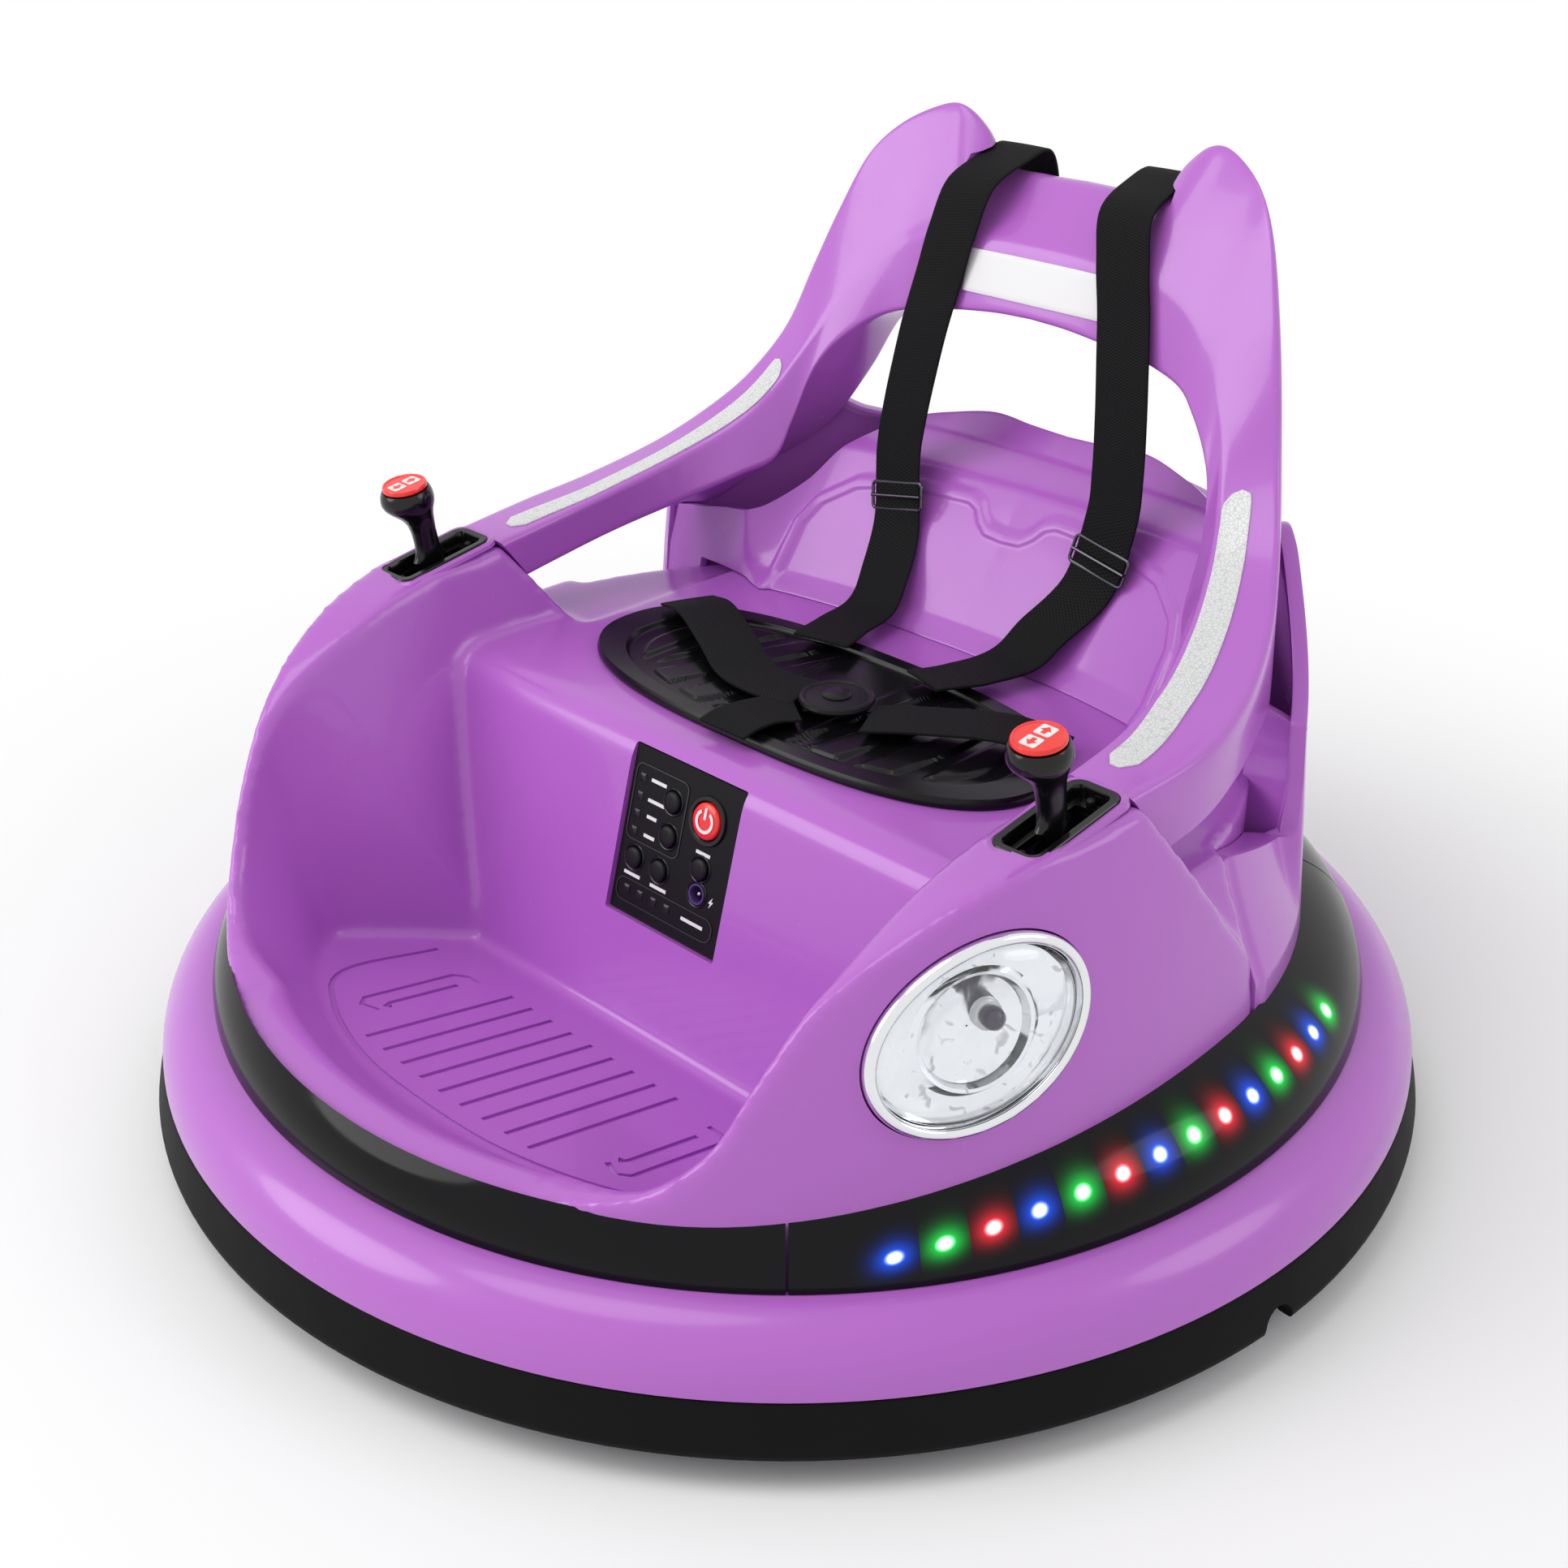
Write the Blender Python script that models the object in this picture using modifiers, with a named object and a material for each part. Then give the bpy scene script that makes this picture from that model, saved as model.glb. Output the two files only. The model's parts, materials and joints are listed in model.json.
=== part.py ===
"""A child's battery driven bumper car: a round bumper, a moulded body with a footwell and seat, a roll
hoop with two arms, twin joysticks, a harness, and the drive under the seat. Metres, +Z up. The origin
is on the floor under the middle of the bumper, -Y is the front, and angles run from the front to +X."""

import math

import bmesh
import bpy
from mathutils import Matrix, Vector

# Bumper and light band
GROUND = 0.018
BUMPER_R = 0.375
RUBBER_H = 0.031
RUBBER_T = 0.010
RUBBER_DRAFT = 0.006
NOTCH_R = 0.011
NOTCH_ANGLE = 86
RING_H = 0.036
RING_DEPTH = 0.032
RING_WALL = 0.004
BAND_DEPTH = 0.067
BAND_H = 0.050
BAND_WALL = 0.003
BAND_SEAM = 0.0014
LAMP_COUNT = 14
LAMP_R = 0.0035
LAMP_T = 0.004
LAMP_FIRST = 53.6
LAMP_STEP = 4.22
STRIP_T = 0.0015
STRIP_H = 0.014
RING_TOP_R = BUMPER_R - RUBBER_DRAFT - RING_DEPTH
RING_TOP_H = RUBBER_H + RING_H
BAND_MID_R = RING_TOP_R - BAND_DEPTH

# Body shells, whose radii follow the ring
WALL = 0.004
GAP = 0.0005
SIDE_R = RING_TOP_R - 0.040
NOSE_BULGE = 0.029
REAR_R = RING_TOP_R - 0.039
REAR_INSET = REAR_R - 0.036
FLOOR_H = 0.058
FLOOR_Y = -0.204
FLOOR_SLOPE = 0.2035
LIP_H = 0.093
SEAT_H = 0.2036
SEAT_FRONT_Y = -0.0759
SEAT_LEAN = 0.275
SEAT_EDGE = 0.016
FENDER_H = 0.2505
ARM_H = 0.258
FENDER_END_Y = -0.030
FENDER_END_SLOPE = 0.723
FENDER_IN_X = SIDE_R - 0.107
SHELF_X = SIDE_R - 0.0315
SHELF_DROP = 0.006
SIDE_LOW_H = 0.128
SIDE_FLARE = 0.0265
SPLIT_ANGLE = 102
TREAD_DEPTH = 0.0012
TREAD_W = 0.0026
TREAD_L = 0.108
TREAD_LINES = 9
TREAD_STEP = 0.0175

# Roll hoop and seat back
HOOP_R = RING_TOP_R - 0.072
HORN_H = 0.505
BACK_TOP_H = ARM_H + 0.058
BACK_FOOT_Y = REAR_R - 0.163
BACK_T = 0.006
STRIPE_W = 0.017
STRIPE_AT = 0.28
STRIPE_T = 0.0012
PLATE_W = 0.105
PLATE_H = 0.026
PLATE_T = 0.0012

# Control panel
PANEL_W = 0.089
PANEL_H = 0.099
PANEL_T = 0.004
PANEL_SINK = 0.003
PANEL_MID = 0.049
BUTTON_GAP = 0.0005
POWER_R = 0.0105
BUTTON_R = 0.0062
BUTTON_PROUD = 0.0025
BUTTON_TRAVEL = 0.002
BUTTON_L = 0.011
LAMP_DOT_R = 0.0022
LAMP_DOT_L = 0.0055
SOCKET_R = 0.0065
SOCKET_L = 0.020

# Headlights
LIGHT_A = 0.0615
LIGHT_B = 0.046
LIGHT_RIM = 0.006
LIGHT_H = 0.178
LIGHT_ANGLE = 62.4
LIGHT_TILT = 18
LIGHT_DEPTH = 0.018
LIGHT_ROOM = 0.003
LENS_SINK = 0.002

# Joysticks
TRAY_X = SIDE_R - 0.053
TRAY_Y = -0.064
TRAY_W = 0.0265
TRAY_L = 0.064
TRAY_DEPTH = 0.012
TRAY_T = 0.003
TRAY_TILT = 9.3
LEVER_W = 0.011
KNOB_R = 0.0162
KNOB_TOP = 0.0672
KNOB_LEAN = 0.005
CAP_R = 0.0135
CAP_T = 0.003
PIN_R = 0.0025

# Seat pad and harness
PAD_L = 0.168
PAD_W = 0.0705
PAD_Y = 0.0255
PAD_T = 0.006
WEB_W = 0.036
WEB_T = 0.0018
STRAP_X = 0.055
STRAP_SLOT = 0.0015
BUCKLE_R = 0.020
BUCKLE_T = 0.012
BUCKLE_PLACE = (0.022, 0.018)

# Chassis and drive
PAN_R = RING_TOP_R - 0.011
PAN_T = 0.005
PAN_H = 0.022
WHEEL_R = 0.050
WHEEL_W = 0.028
WHEEL_X = 0.190
WHEEL_Y = 0.030
AXLE_R = 0.005
GEARBOX = (0.040, 0.060, 0.085)
MOTOR_R = 0.018
MOTOR_L = 0.055
CASTER_R = 0.014
CASTER_W = 0.014
CASTER_Y = 0.215
CASTER_TRAIL = 0.008
FORK_T = 0.003
CHEEK_W = 0.012
FLANGE_R = 0.016
FLANGE_T = 0.004
CASTER_PIN_R = 0.002
RUNNING = 0.0003
BATTERY = (0.151, 0.065, 0.095)
BATTERY_Y = 0.135
CONTROL_BOX = (0.090, 0.060, 0.028)
CONTROL_Y = 0.045
SPEAKER_R = 0.026
SPEAKER_H = 0.020
SPEAKER_Y = -0.020

SHARP = 35
PARTS = "bumper_car"
CUTTERS = "bumper_car_cutters"

PURPLE = (0.47, 0.16, 0.63)
BLACK = (0.012, 0.012, 0.013)
RUBBER = (0.018, 0.018, 0.018)
CHROME = (0.80, 0.80, 0.82)
GREY = (0.30, 0.30, 0.31)
WHITE = (0.74, 0.75, 0.74)
RED = (0.80, 0.03, 0.02)
CLEAR = (0.85, 0.88, 0.90)
BOARD_GREEN = (0.02, 0.16, 0.05)


def start_scene():
    for obj in list(bpy.data.objects):
        bpy.data.objects.remove(obj, do_unlink=True)
    for name in (PARTS, CUTTERS):
        bpy.context.scene.collection.children.link(bpy.data.collections.new(name))


def material(name, colour, roughness, metallic):
    made = bpy.data.materials.new(name)
    made.use_nodes = True
    shader = made.node_tree.nodes["Principled BSDF"]
    shader.inputs["Base Color"].default_value = (*colour, 1)
    shader.inputs["Roughness"].default_value = roughness
    shader.inputs["Metallic"].default_value = metallic
    return made


def add(name, bm, colour=None, roughness=0.3, metallic=0.0, parent=None, at=(0, 0, 0), turn=(0, 0, 0)):
    """A new object from a bmesh: a part with its material, or a cutter where no colour is given."""
    bmesh.ops.remove_doubles(bm, verts=bm.verts, dist=1e-6)
    bmesh.ops.recalc_face_normals(bm, faces=bm.faces)
    mesh = bpy.data.meshes.new(name)
    bm.to_mesh(mesh)
    bm.free()
    obj = bpy.data.objects.new(name, mesh)
    obj.parent = parent
    obj.location = at
    obj.rotation_euler = turn
    if colour is None:
        bpy.data.collections[CUTTERS].objects.link(obj)
        obj.hide_render = True
        obj.display_type = "WIRE"
    else:
        bpy.data.collections[PARTS].objects.link(obj)
        mesh.materials.append(material(name, colour, roughness, metallic))
        mesh.shade_smooth()
        mesh.set_sharp_from_angle(angle=math.radians(SHARP))
    return obj


def empty(name, at, turn=(0, 0, 0), parent=None):
    made = bpy.data.objects.new(name, None)
    made.location = at
    made.rotation_euler = turn
    made.parent = parent
    bpy.data.collections[PARTS].objects.link(made)
    return made


def boolean(obj, other, operation="DIFFERENCE", solver="EXACT"):
    step = obj.modifiers.new(operation.lower(), "BOOLEAN")
    step.operation = operation
    step.object = other
    step.solver = solver


def carve(obj, other, operation="DIFFERENCE"):
    """A cut or join on the front body, whose lofted skins need the solver for closed meshes."""
    boolean(obj, other, operation, "MANIFOLD")


def round_edges(obj, width, segments=2, angle=40):
    bevel = obj.modifiers.new("round", "BEVEL")
    bevel.width = width
    bevel.segments = segments
    bevel.limit_method = "ANGLE"
    bevel.angle_limit = math.radians(angle)


def box(size, at=(0, 0, 0)):
    bm = bmesh.new()
    bmesh.ops.create_cube(bm, size=1)
    bmesh.ops.scale(bm, vec=size, verts=bm.verts)
    bmesh.ops.translate(bm, vec=at, verts=bm.verts)
    return bm


def rod(radius, length, axis="Z", at=(0, 0, 0), top_radius=None, sides=24):
    """A cylinder or cone, centred on a point, along one axis."""
    bm = bmesh.new()
    top = radius if top_radius is None else top_radius
    bmesh.ops.create_cone(bm, cap_ends=True, segments=sides, radius1=radius, radius2=top, depth=length)
    turns = {
        "X": Matrix.Rotation(math.pi / 2, 3, "Y"),
        "Y": Matrix.Rotation(-math.pi / 2, 3, "X"),
        "Z": Matrix.Identity(3),
    }
    bmesh.ops.rotate(bm, cent=(0, 0, 0), matrix=turns[axis], verts=bm.verts)
    bmesh.ops.translate(bm, vec=at, verts=bm.verts)
    return bm


def join(*pieces):
    """One bmesh holding several separate closed bodies."""
    whole = pieces[0]
    for piece in pieces[1:]:
        scrap = bpy.data.meshes.new("scrap")
        piece.to_mesh(scrap)
        piece.free()
        whole.from_mesh(scrap)
        bpy.data.meshes.remove(scrap)
    return whole


def turned(name, profile, colour, roughness, metallic=0.0, steps=64, **placing):
    """A turned ring or disc: the closed profile of (radius, height) goes round the local Z axis."""
    bm = bmesh.new()
    points = [bm.verts.new((r, 0, z)) for r, z in profile]
    for first, second in zip(points, points[1:] + points[:1]):
        bm.edges.new((first, second))
    obj = add(name, bm, colour, roughness, metallic, **placing)
    screw = obj.modifiers.new("turn", "SCREW")
    screw.steps = steps
    screw.render_steps = steps
    screw.use_merge_vertices = True
    screw.merge_threshold = 0.00001
    screw.use_smooth_shade = True
    return obj


def turned_arc(profile, first, last, steps):
    """A stretch of a turned ring between two angles, closed at both ends."""
    bm = bmesh.new()
    points = [bm.verts.new(place(first, r, z)) for r, z in profile]
    face = bm.faces.new(points)
    bmesh.ops.spin(
        bm,
        geom=[face] + list(face.edges) + points,
        cent=(0, 0, 0),
        axis=(0, 0, 1),
        angle=math.radians(last - first),
        steps=steps,
        use_duplicate=False,
    )
    return bm


def loft(rings, apex=None):
    """A closed solid through rings of equal length, with flat ends or with a fan to an apex at the last."""
    bm = bmesh.new()
    rows = [[bm.verts.new(point) for point in ring] for ring in rings]
    count = len(rows[0])
    for low, high in zip(rows, rows[1:]):
        for i in range(count):
            j = (i + 1) % count
            bm.faces.new((low[i], low[j], high[j], high[i]))
    bm.faces.new(list(reversed(rows[0])))
    if apex is None:
        bm.faces.new(rows[-1])
    else:
        tip = bm.verts.new(apex)
        for i in range(count):
            bm.faces.new((rows[-1][i], rows[-1][(i + 1) % count], tip))
    bmesh.ops.triangulate(bm, faces=bm.faces)
    return bm


def smooth_step(low, high, value):
    t = min(max((value - low) / (high - low), 0), 1)
    return t * t * (3 - 2 * t)


def along(knots, value):
    """The height of a smooth curve through (place, height) knots, with no overshoot."""
    if value <= knots[0][0]:
        return knots[0][1]
    if value >= knots[-1][0]:
        return knots[-1][1]
    i = max(k for k in range(len(knots) - 1) if knots[k][0] <= value)
    slopes = []
    for k in (i, i + 1):
        before = slope_between(knots, k - 1)
        after = slope_between(knots, k)
        slopes.append(0 if before * after <= 0 else 2 * before * after / (before + after))
    (x0, y0), (x1, y1) = knots[i], knots[i + 1]
    span = x1 - x0
    t = (value - x0) / span
    rise = (2 * t**3 - 3 * t**2 + 1) * y0 + (3 * t**2 - 2 * t**3) * y1
    return rise + span * ((t**3 - 2 * t**2 + t) * slopes[0] + (t**3 - t**2) * slopes[1])


def slope_between(knots, k):
    k = min(max(k, 0), len(knots) - 2)
    return (knots[k + 1][1] - knots[k][1]) / (knots[k + 1][0] - knots[k][0])


def spline(points, steps):
    """Points on a smooth curve through the given points."""
    ends = [points[0] * 2 - points[1], *points, points[-1] * 2 - points[-2]]
    found = []
    for a, b, c, d in zip(ends, ends[1:], ends[2:], ends[3:]):
        for k in range(steps):
            t = k / steps
            bend = (2 * a - 5 * b + 4 * c - d) * t**2 + (3 * b - a - 3 * c + d) * t**3
            found.append(0.5 * (2 * b + (c - a) * t + bend))
    return [*found, points[-1].copy()]


def place(angle, radius, z):
    turn = math.radians(angle)
    return Vector((radius * math.sin(turn), -radius * math.cos(turn), z))


def up(height):
    """World height of something measured from the bumper's lower edge."""
    return GROUND + height


# Height of the fender's edge by angle from the front, as shares of the rise from the lip to the fender's top
FENDER_RISE = (
    (22, 0), (32, 0.08), (36, 0.17), (39, 0.28), (42.5, 0.49), (47, 0.69), (54, 0.845), (62, 0.945), (70, 1),
)
# Thickness of the fender at its edge, from the outer skin to the inner rim
FENDER_T = (
    (24, 0.022), (33, 0.006), (40, 0.004), (45, 0.006), (50, 0.0135), (58, 0.030), (68, 0.041), (90, 0.050),
)
# Outline of the footwell's floor by angle, as shares of the body's radius
WELL_FLOOR = ((30, 0.94), (44, 0.93), (48, 0.781), (53, 0.606), (75, 0.539))


def fender_height(angle):
    share = along(FENDER_RISE, abs(angle))
    rise = LIP_H + share * (FENDER_H - LIP_H)
    return rise + (ARM_H - FENDER_H) * smooth_step(70, 97, abs(angle))


def skin_radius(angle, height):
    """Outer skin of the front body at a height over the bumper's lower edge."""
    foot = SIDE_R + NOSE_BULGE * (1 - smooth_step(33, 95, abs(angle)))
    return foot * (1 - 1.868 * max(height - 0.09, 0) ** 1.65)


def floor_height(y):
    """The footwell's floor, which climbs to the front."""
    return FLOOR_H - FLOOR_SLOPE * (y - FLOOR_Y)


def rim_radius(angle):
    return skin_radius(angle, fender_height(angle)) - along(FENDER_T, abs(angle))


def body_angles():
    extra = [SPLIT_ANGLE - 1, SPLIT_ANGLE + 1]
    half = sorted([*range(5, 180, 5), *extra])
    return [0, *half, 180, *(-a for a in reversed(half))]


BODY_FOOT = 0.030


def body_block(grow, foot):
    """The front body as a filled block: skin, fender edge and a flat top, moved out by grow."""
    levels = (0, 0.25, 0.5, 0.75, 1)

    def point(angle, share):
        top = (fender_height(angle) if abs(angle) < SPLIT_ANGLE else SEAT_H - GAP) + grow
        height = foot + share * (top - foot)
        if abs(angle) < SPLIT_ANGLE:
            return place(angle, skin_radius(angle, height) + grow, up(height))
        return place(angle, REAR_INSET + grow, up(height))

    rings = [[point(a, share) for a in body_angles()] for share in levels]
    full = up(SEAT_H)
    for share, least in ((0.82, 0), (0.55, full)):
        ring = []
        for a in body_angles():
            edge = point(a, 1)
            ring.append((edge.x * share, edge.y * share, max(edge.z, least)))
        rings.append(ring)
    return loft(rings, (0, 0, full))


def skin_outline(grow, height):
    """The widest outline of the front body and rear shell, drawn at one height."""
    ring = []
    for angle in body_angles():
        radius = max(skin_radius(angle, 0), REAR_R if abs(angle) > SPLIT_ANGLE - 2 else 0)
        ring.append(place(angle, radius + grow, up(height)))
    return ring


def seat_block(name, shrink):
    """Everything under the seat top and behind the seat's leaning front."""
    front = SEAT_FRONT_Y + shrink * math.hypot(1, SEAT_LEAN)
    top = SEAT_H - shrink
    low = -0.1
    reach = 0.5

    def y_at(height):
        return front - SEAT_LEAN * (SEAT_H - height)

    edge = max(SEAT_EDGE - shrink, 0.004)
    profile = [(y_at(low), low), (y_at(top - edge), top - edge)]
    corner = Vector((y_at(top), top))
    for k in range(1, 4):
        t = k / 4
        start = Vector((y_at(top - edge), top - edge))
        end = Vector((corner.x + edge, top))
        bent = start * (1 - t) ** 2 + corner * 2 * t * (1 - t) + end * t**2
        profile.append((bent.x, bent.y))
    profile += [(corner.x + edge, top), (reach, top), (reach, low)]
    sides = [[(x, y, up(z)) for y, z in profile] for x in (-reach, reach)]
    return add(name, loft(sides))


def cabin(name, grow):
    """The room inside the body: the footwell, and all that is over the seat."""
    top = 0.40

    def wall(angle):
        floor = along(WELL_FLOOR, abs(angle)) * SIDE_R if abs(angle) < SPLIT_ANGLE else REAR_INSET + 0.05
        rim = rim_radius(angle) if abs(angle) < SPLIT_ANGLE else REAR_INSET + 0.05
        height = fender_height(min(abs(angle), SPLIT_ANGLE))
        over = height + 0.0023
        return floor + grow, (rim + grow, over), (rim + grow + 0.006, over + 0.02)

    floor_ring, rim_ring, over_ring, top_ring = [], [], [], []
    for angle in body_angles():
        low, rim, over = wall(angle)
        foot = place(angle, low, 0)
        floor_ring.append((foot.x, foot.y, up(floor_height(foot.y) - grow)))
        rim_ring.append(place(angle, rim[0], up(rim[1])))
        over_ring.append(place(angle, over[0], up(over[1])))
        top_ring.append(place(angle, over[0] + 0.01, up(top)))
    obj = add(name, loft([floor_ring, rim_ring, over_ring, top_ring]))
    carve(obj, seat_block(name + "_seat", grow))
    return obj


def fender_end(name, side, inner, flare, low, high, grow):
    """A wedge behind a fender's slanted rear edge, from a width that flares out downwards to the outside."""
    reach = 0.5

    def y_at(height):
        return FENDER_END_Y - grow - FENDER_END_SLOPE * (height - ARM_H)

    low -= grow
    inner -= grow
    outline = [(y_at(low), low, flare), (reach, low, flare), (reach, high, 0), (y_at(high), high, 0)]
    near = [(side * (inner + out), y, up(z)) for y, z, out in outline]
    far = [(side * reach, y, up(z)) for y, z, _ in outline]
    return add(name, loft([near, far]))


def cut_fender_ends(obj, grow):
    """Ends both fenders at their slanted rear edges: over the seat, and outside the leaning side panels."""
    shelf = SEAT_H - SHELF_DROP
    for side in (-1, 1):
        over = side_name(obj.name + "_over", side)
        carve(obj, fender_end(over, side, FENDER_IN_X, 0, shelf, 0.45, grow))
        outside = side_name(obj.name + "_outside", side)
        carve(obj, fender_end(outside, side, SHELF_X, SIDE_FLARE, SIDE_LOW_H, shelf + 0.001, grow))


def panel_frame():
    """The control panel's own frame, in the leaning seat front: local +Z up the panel, -Y out of it."""
    middle = SEAT_H - PANEL_MID - 0.004
    y = SEAT_FRONT_Y - SEAT_LEAN * (SEAT_H - middle)
    return empty("panel_frame", (0, y, up(middle)), (-math.atan(SEAT_LEAN), 0, 0))


def light_frame(side):
    """A headlight's frame: local +Z out of the fender, local X along the oval's long axis."""
    centre = place(side * LIGHT_ANGLE, skin_radius(LIGHT_ANGLE, LIGHT_H), up(LIGHT_H))
    step = 0.01
    above = place(side * LIGHT_ANGLE, skin_radius(LIGHT_ANGLE, LIGHT_H + step), up(LIGHT_H + step))
    back = place(side * (LIGHT_ANGLE + 4), skin_radius(LIGHT_ANGLE + 4, LIGHT_H), up(LIGHT_H))
    rise = (above - centre).normalized()
    behind = (back - centre).normalized()
    out = behind.cross(rise) * side
    tilt = math.radians(LIGHT_TILT)
    long_axis = (behind * math.cos(tilt) + rise * math.sin(tilt)).normalized()
    out = (out - long_axis * out.dot(long_axis)).normalized()
    across = out.cross(long_axis)
    turn = Matrix((long_axis, across, out)).transposed()
    return empty(side_name("light_frame", side), centre, turn.to_euler())


def side_name(name, side):
    return name + ("_right" if side > 0 else "_left")


def oval(a, b, z, sides=28):
    return [(a * math.cos(t), b * math.sin(t), z) for t in (2 * math.pi * k / sides for k in range(sides))]


def oval_stack(levels):
    """A closed solid through ovals of (long half, short half, height)."""
    return loft([oval(*level) for level in levels])


def make_bumper():
    low_r = BUMPER_R
    top_r = BUMPER_R - RUBBER_DRAFT
    foot, top = up(0), up(RUBBER_H)
    rubber = turned(
        "rubber_bumper",
        [
            (top_r - 0.001, top),
            (top_r, top - 0.002),
            (low_r, foot + 0.003),
            (low_r - 0.002, foot),
            (low_r - RUBBER_T, foot),
            (top_r - RUBBER_T, top),
        ],
        RUBBER,
        0.75,
    )
    for side in (-1, 1):
        notch = rod(NOTCH_R, 3 * RUBBER_T, "Y")
        turn = (0, 0, math.radians(side * NOTCH_ANGLE))
        at = place(side * NOTCH_ANGLE, low_r, foot + 0.002)
        boolean(rubber, add(side_name("notch", side), notch, at=at, turn=turn))
    bulge = []
    steps = 6
    for k in range(steps + 1):
        t = math.pi / 2 * k / steps
        bulge.append((RING_TOP_R + RING_DEPTH * math.sin(t), top + GAP + (RING_H - GAP) * math.cos(t)))
    inner = [(r - RING_WALL, z - RING_WALL * 0.6) for r, z in bulge[1:-1]]
    foot_in = (top_r - RUBBER_T - 0.012, top + GAP)
    profile = [*bulge, (foot_in[0], foot_in[1]), (foot_in[0], foot_in[1] + RING_WALL)]
    profile += [(min(r, top_r - RING_WALL), max(z, top + RING_WALL + GAP)) for r, z in reversed(inner[:-2])]
    lip_r, lip_z = RING_TOP_R - RING_WALL, up(RING_TOP_H)
    profile += [(lip_r, lip_z - RING_WALL), (lip_r, lip_z)]
    turned("bumper_ring", profile, PURPLE, 0.2)


def make_band():
    outer, inner = [], []
    steps = 6
    for k in range(steps + 1):
        t = math.radians(78) * k / steps
        z = up(RING_TOP_H) + GAP
        outer.append((BAND_MID_R + BAND_DEPTH * math.cos(t), z + BAND_H * math.sin(t)))
        wall_a, wall_b = BAND_DEPTH - BAND_WALL, BAND_H - BAND_WALL
        inner.append((BAND_MID_R + wall_a * math.cos(t), z + wall_b * math.sin(t)))
    profile = outer + inner[::-1]
    seam = math.degrees(BAND_SEAM / 2 / RING_TOP_R)
    clear = add("band_clear", loft([skin_outline(GAP, h) for h in (0, 0.2)]))
    for name, middle in (("front", 0), ("right", 90), ("rear", 180), ("left", 270)):
        arc = turned_arc(profile, middle - 45 + seam, middle + 45 - seam, 15)
        obj = add("light_band_" + name, arc, BLACK, 0.08)
        boolean(obj, clear)
    make_lamp_strips()


def make_lamp_strips():
    """A lamp strip behind the band on each side: a curved board with a row of lamps on it."""
    strip_r = RING_TOP_R - 0.012
    low = up(RING_TOP_H) + 0.003
    face_r, high = strip_r + STRIP_T, low + STRIP_H
    board = [(strip_r, low), (face_r, low), (face_r, high), (strip_r, high)]
    for side in (-1, 1):
        first, last = LAMP_FIRST - 1.5, LAMP_FIRST + LAMP_STEP * (LAMP_COUNT - 1) + 1.5
        ends = sorted((side * first, side * last))
        strip = add(side_name("lamp_strip", side), turned_arc(board, ends[0], ends[1], 14), WHITE, 0.5)
        lamps = []
        for k in range(LAMP_COUNT):
            angle = side * (LAMP_FIRST + LAMP_STEP * k)
            spot = rod(LAMP_R, LAMP_T, "Y", sides=6)
            turn = Matrix.Rotation(math.radians(angle), 3, "Z")
            bmesh.ops.rotate(spot, cent=(0, 0, 0), matrix=turn, verts=spot.verts)
            at = place(angle, strip_r + STRIP_T / 2 + LAMP_T / 2, low + STRIP_H / 2)
            bmesh.ops.translate(spot, vec=at, verts=spot.verts)
            lamps.append(spot)
        boolean(strip, add(side_name("strip_lamps", side), join(*lamps)), "UNION")


def make_front_body(panel):
    body = add("front_body", body_block(0, BODY_FOOT), PURPLE, 0.2)
    carve(body, cabin("cabin_room", 0))
    cut_fender_ends(body, 0)
    hollow = add("body_hollow", body_block(-WALL, BODY_FOOT - 0.04))
    carve(hollow, cabin("cabin_backing", WALL))
    cut_fender_ends(hollow, WALL)
    carve(body, hollow)
    carve(body, tread_lines())
    opening = box((PANEL_W + 2 * GAP, 0.06, PANEL_H + 2 * GAP))
    carve(body, add("panel_opening", opening, parent=panel))
    for side in (-1, 1):
        tray = box((TRAY_W + 2 * GAP, TRAY_L + 2 * GAP, 0.05), (0, 0, -0.005))
        carve(body, add(side_name("tray_opening", side), tray, parent=tray_frame(side)))
    return body


def tray_frame(side):
    name = side_name("tray_frame", side)
    if name in bpy.data.objects:
        return bpy.data.objects[name]
    angle = math.degrees(math.atan2(TRAY_X, -TRAY_Y))
    return empty(name, (side * TRAY_X, TRAY_Y, up(fender_height(angle))), (math.radians(TRAY_TILT), 0, 0))


def tread_lines():
    """The moulded tread: shallow lines let into the footwell's sloping floor."""
    lines = []
    for k in range(TREAD_LINES):
        x = (k - (TREAD_LINES - 1) / 2) * TREAD_STEP
        line = box((TREAD_W, TREAD_L, 2 * TREAD_DEPTH))
        turn = Matrix.Rotation(-math.atan(FLOOR_SLOPE), 3, "X")
        bmesh.ops.rotate(line, cent=(0, 0, 0), matrix=turn, verts=line.verts)
        bmesh.ops.translate(line, vec=(x, FLOOR_Y, up(FLOOR_H)), verts=line.verts)
        lines.append(line)
    return add("tread_lines", join(*lines))


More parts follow.
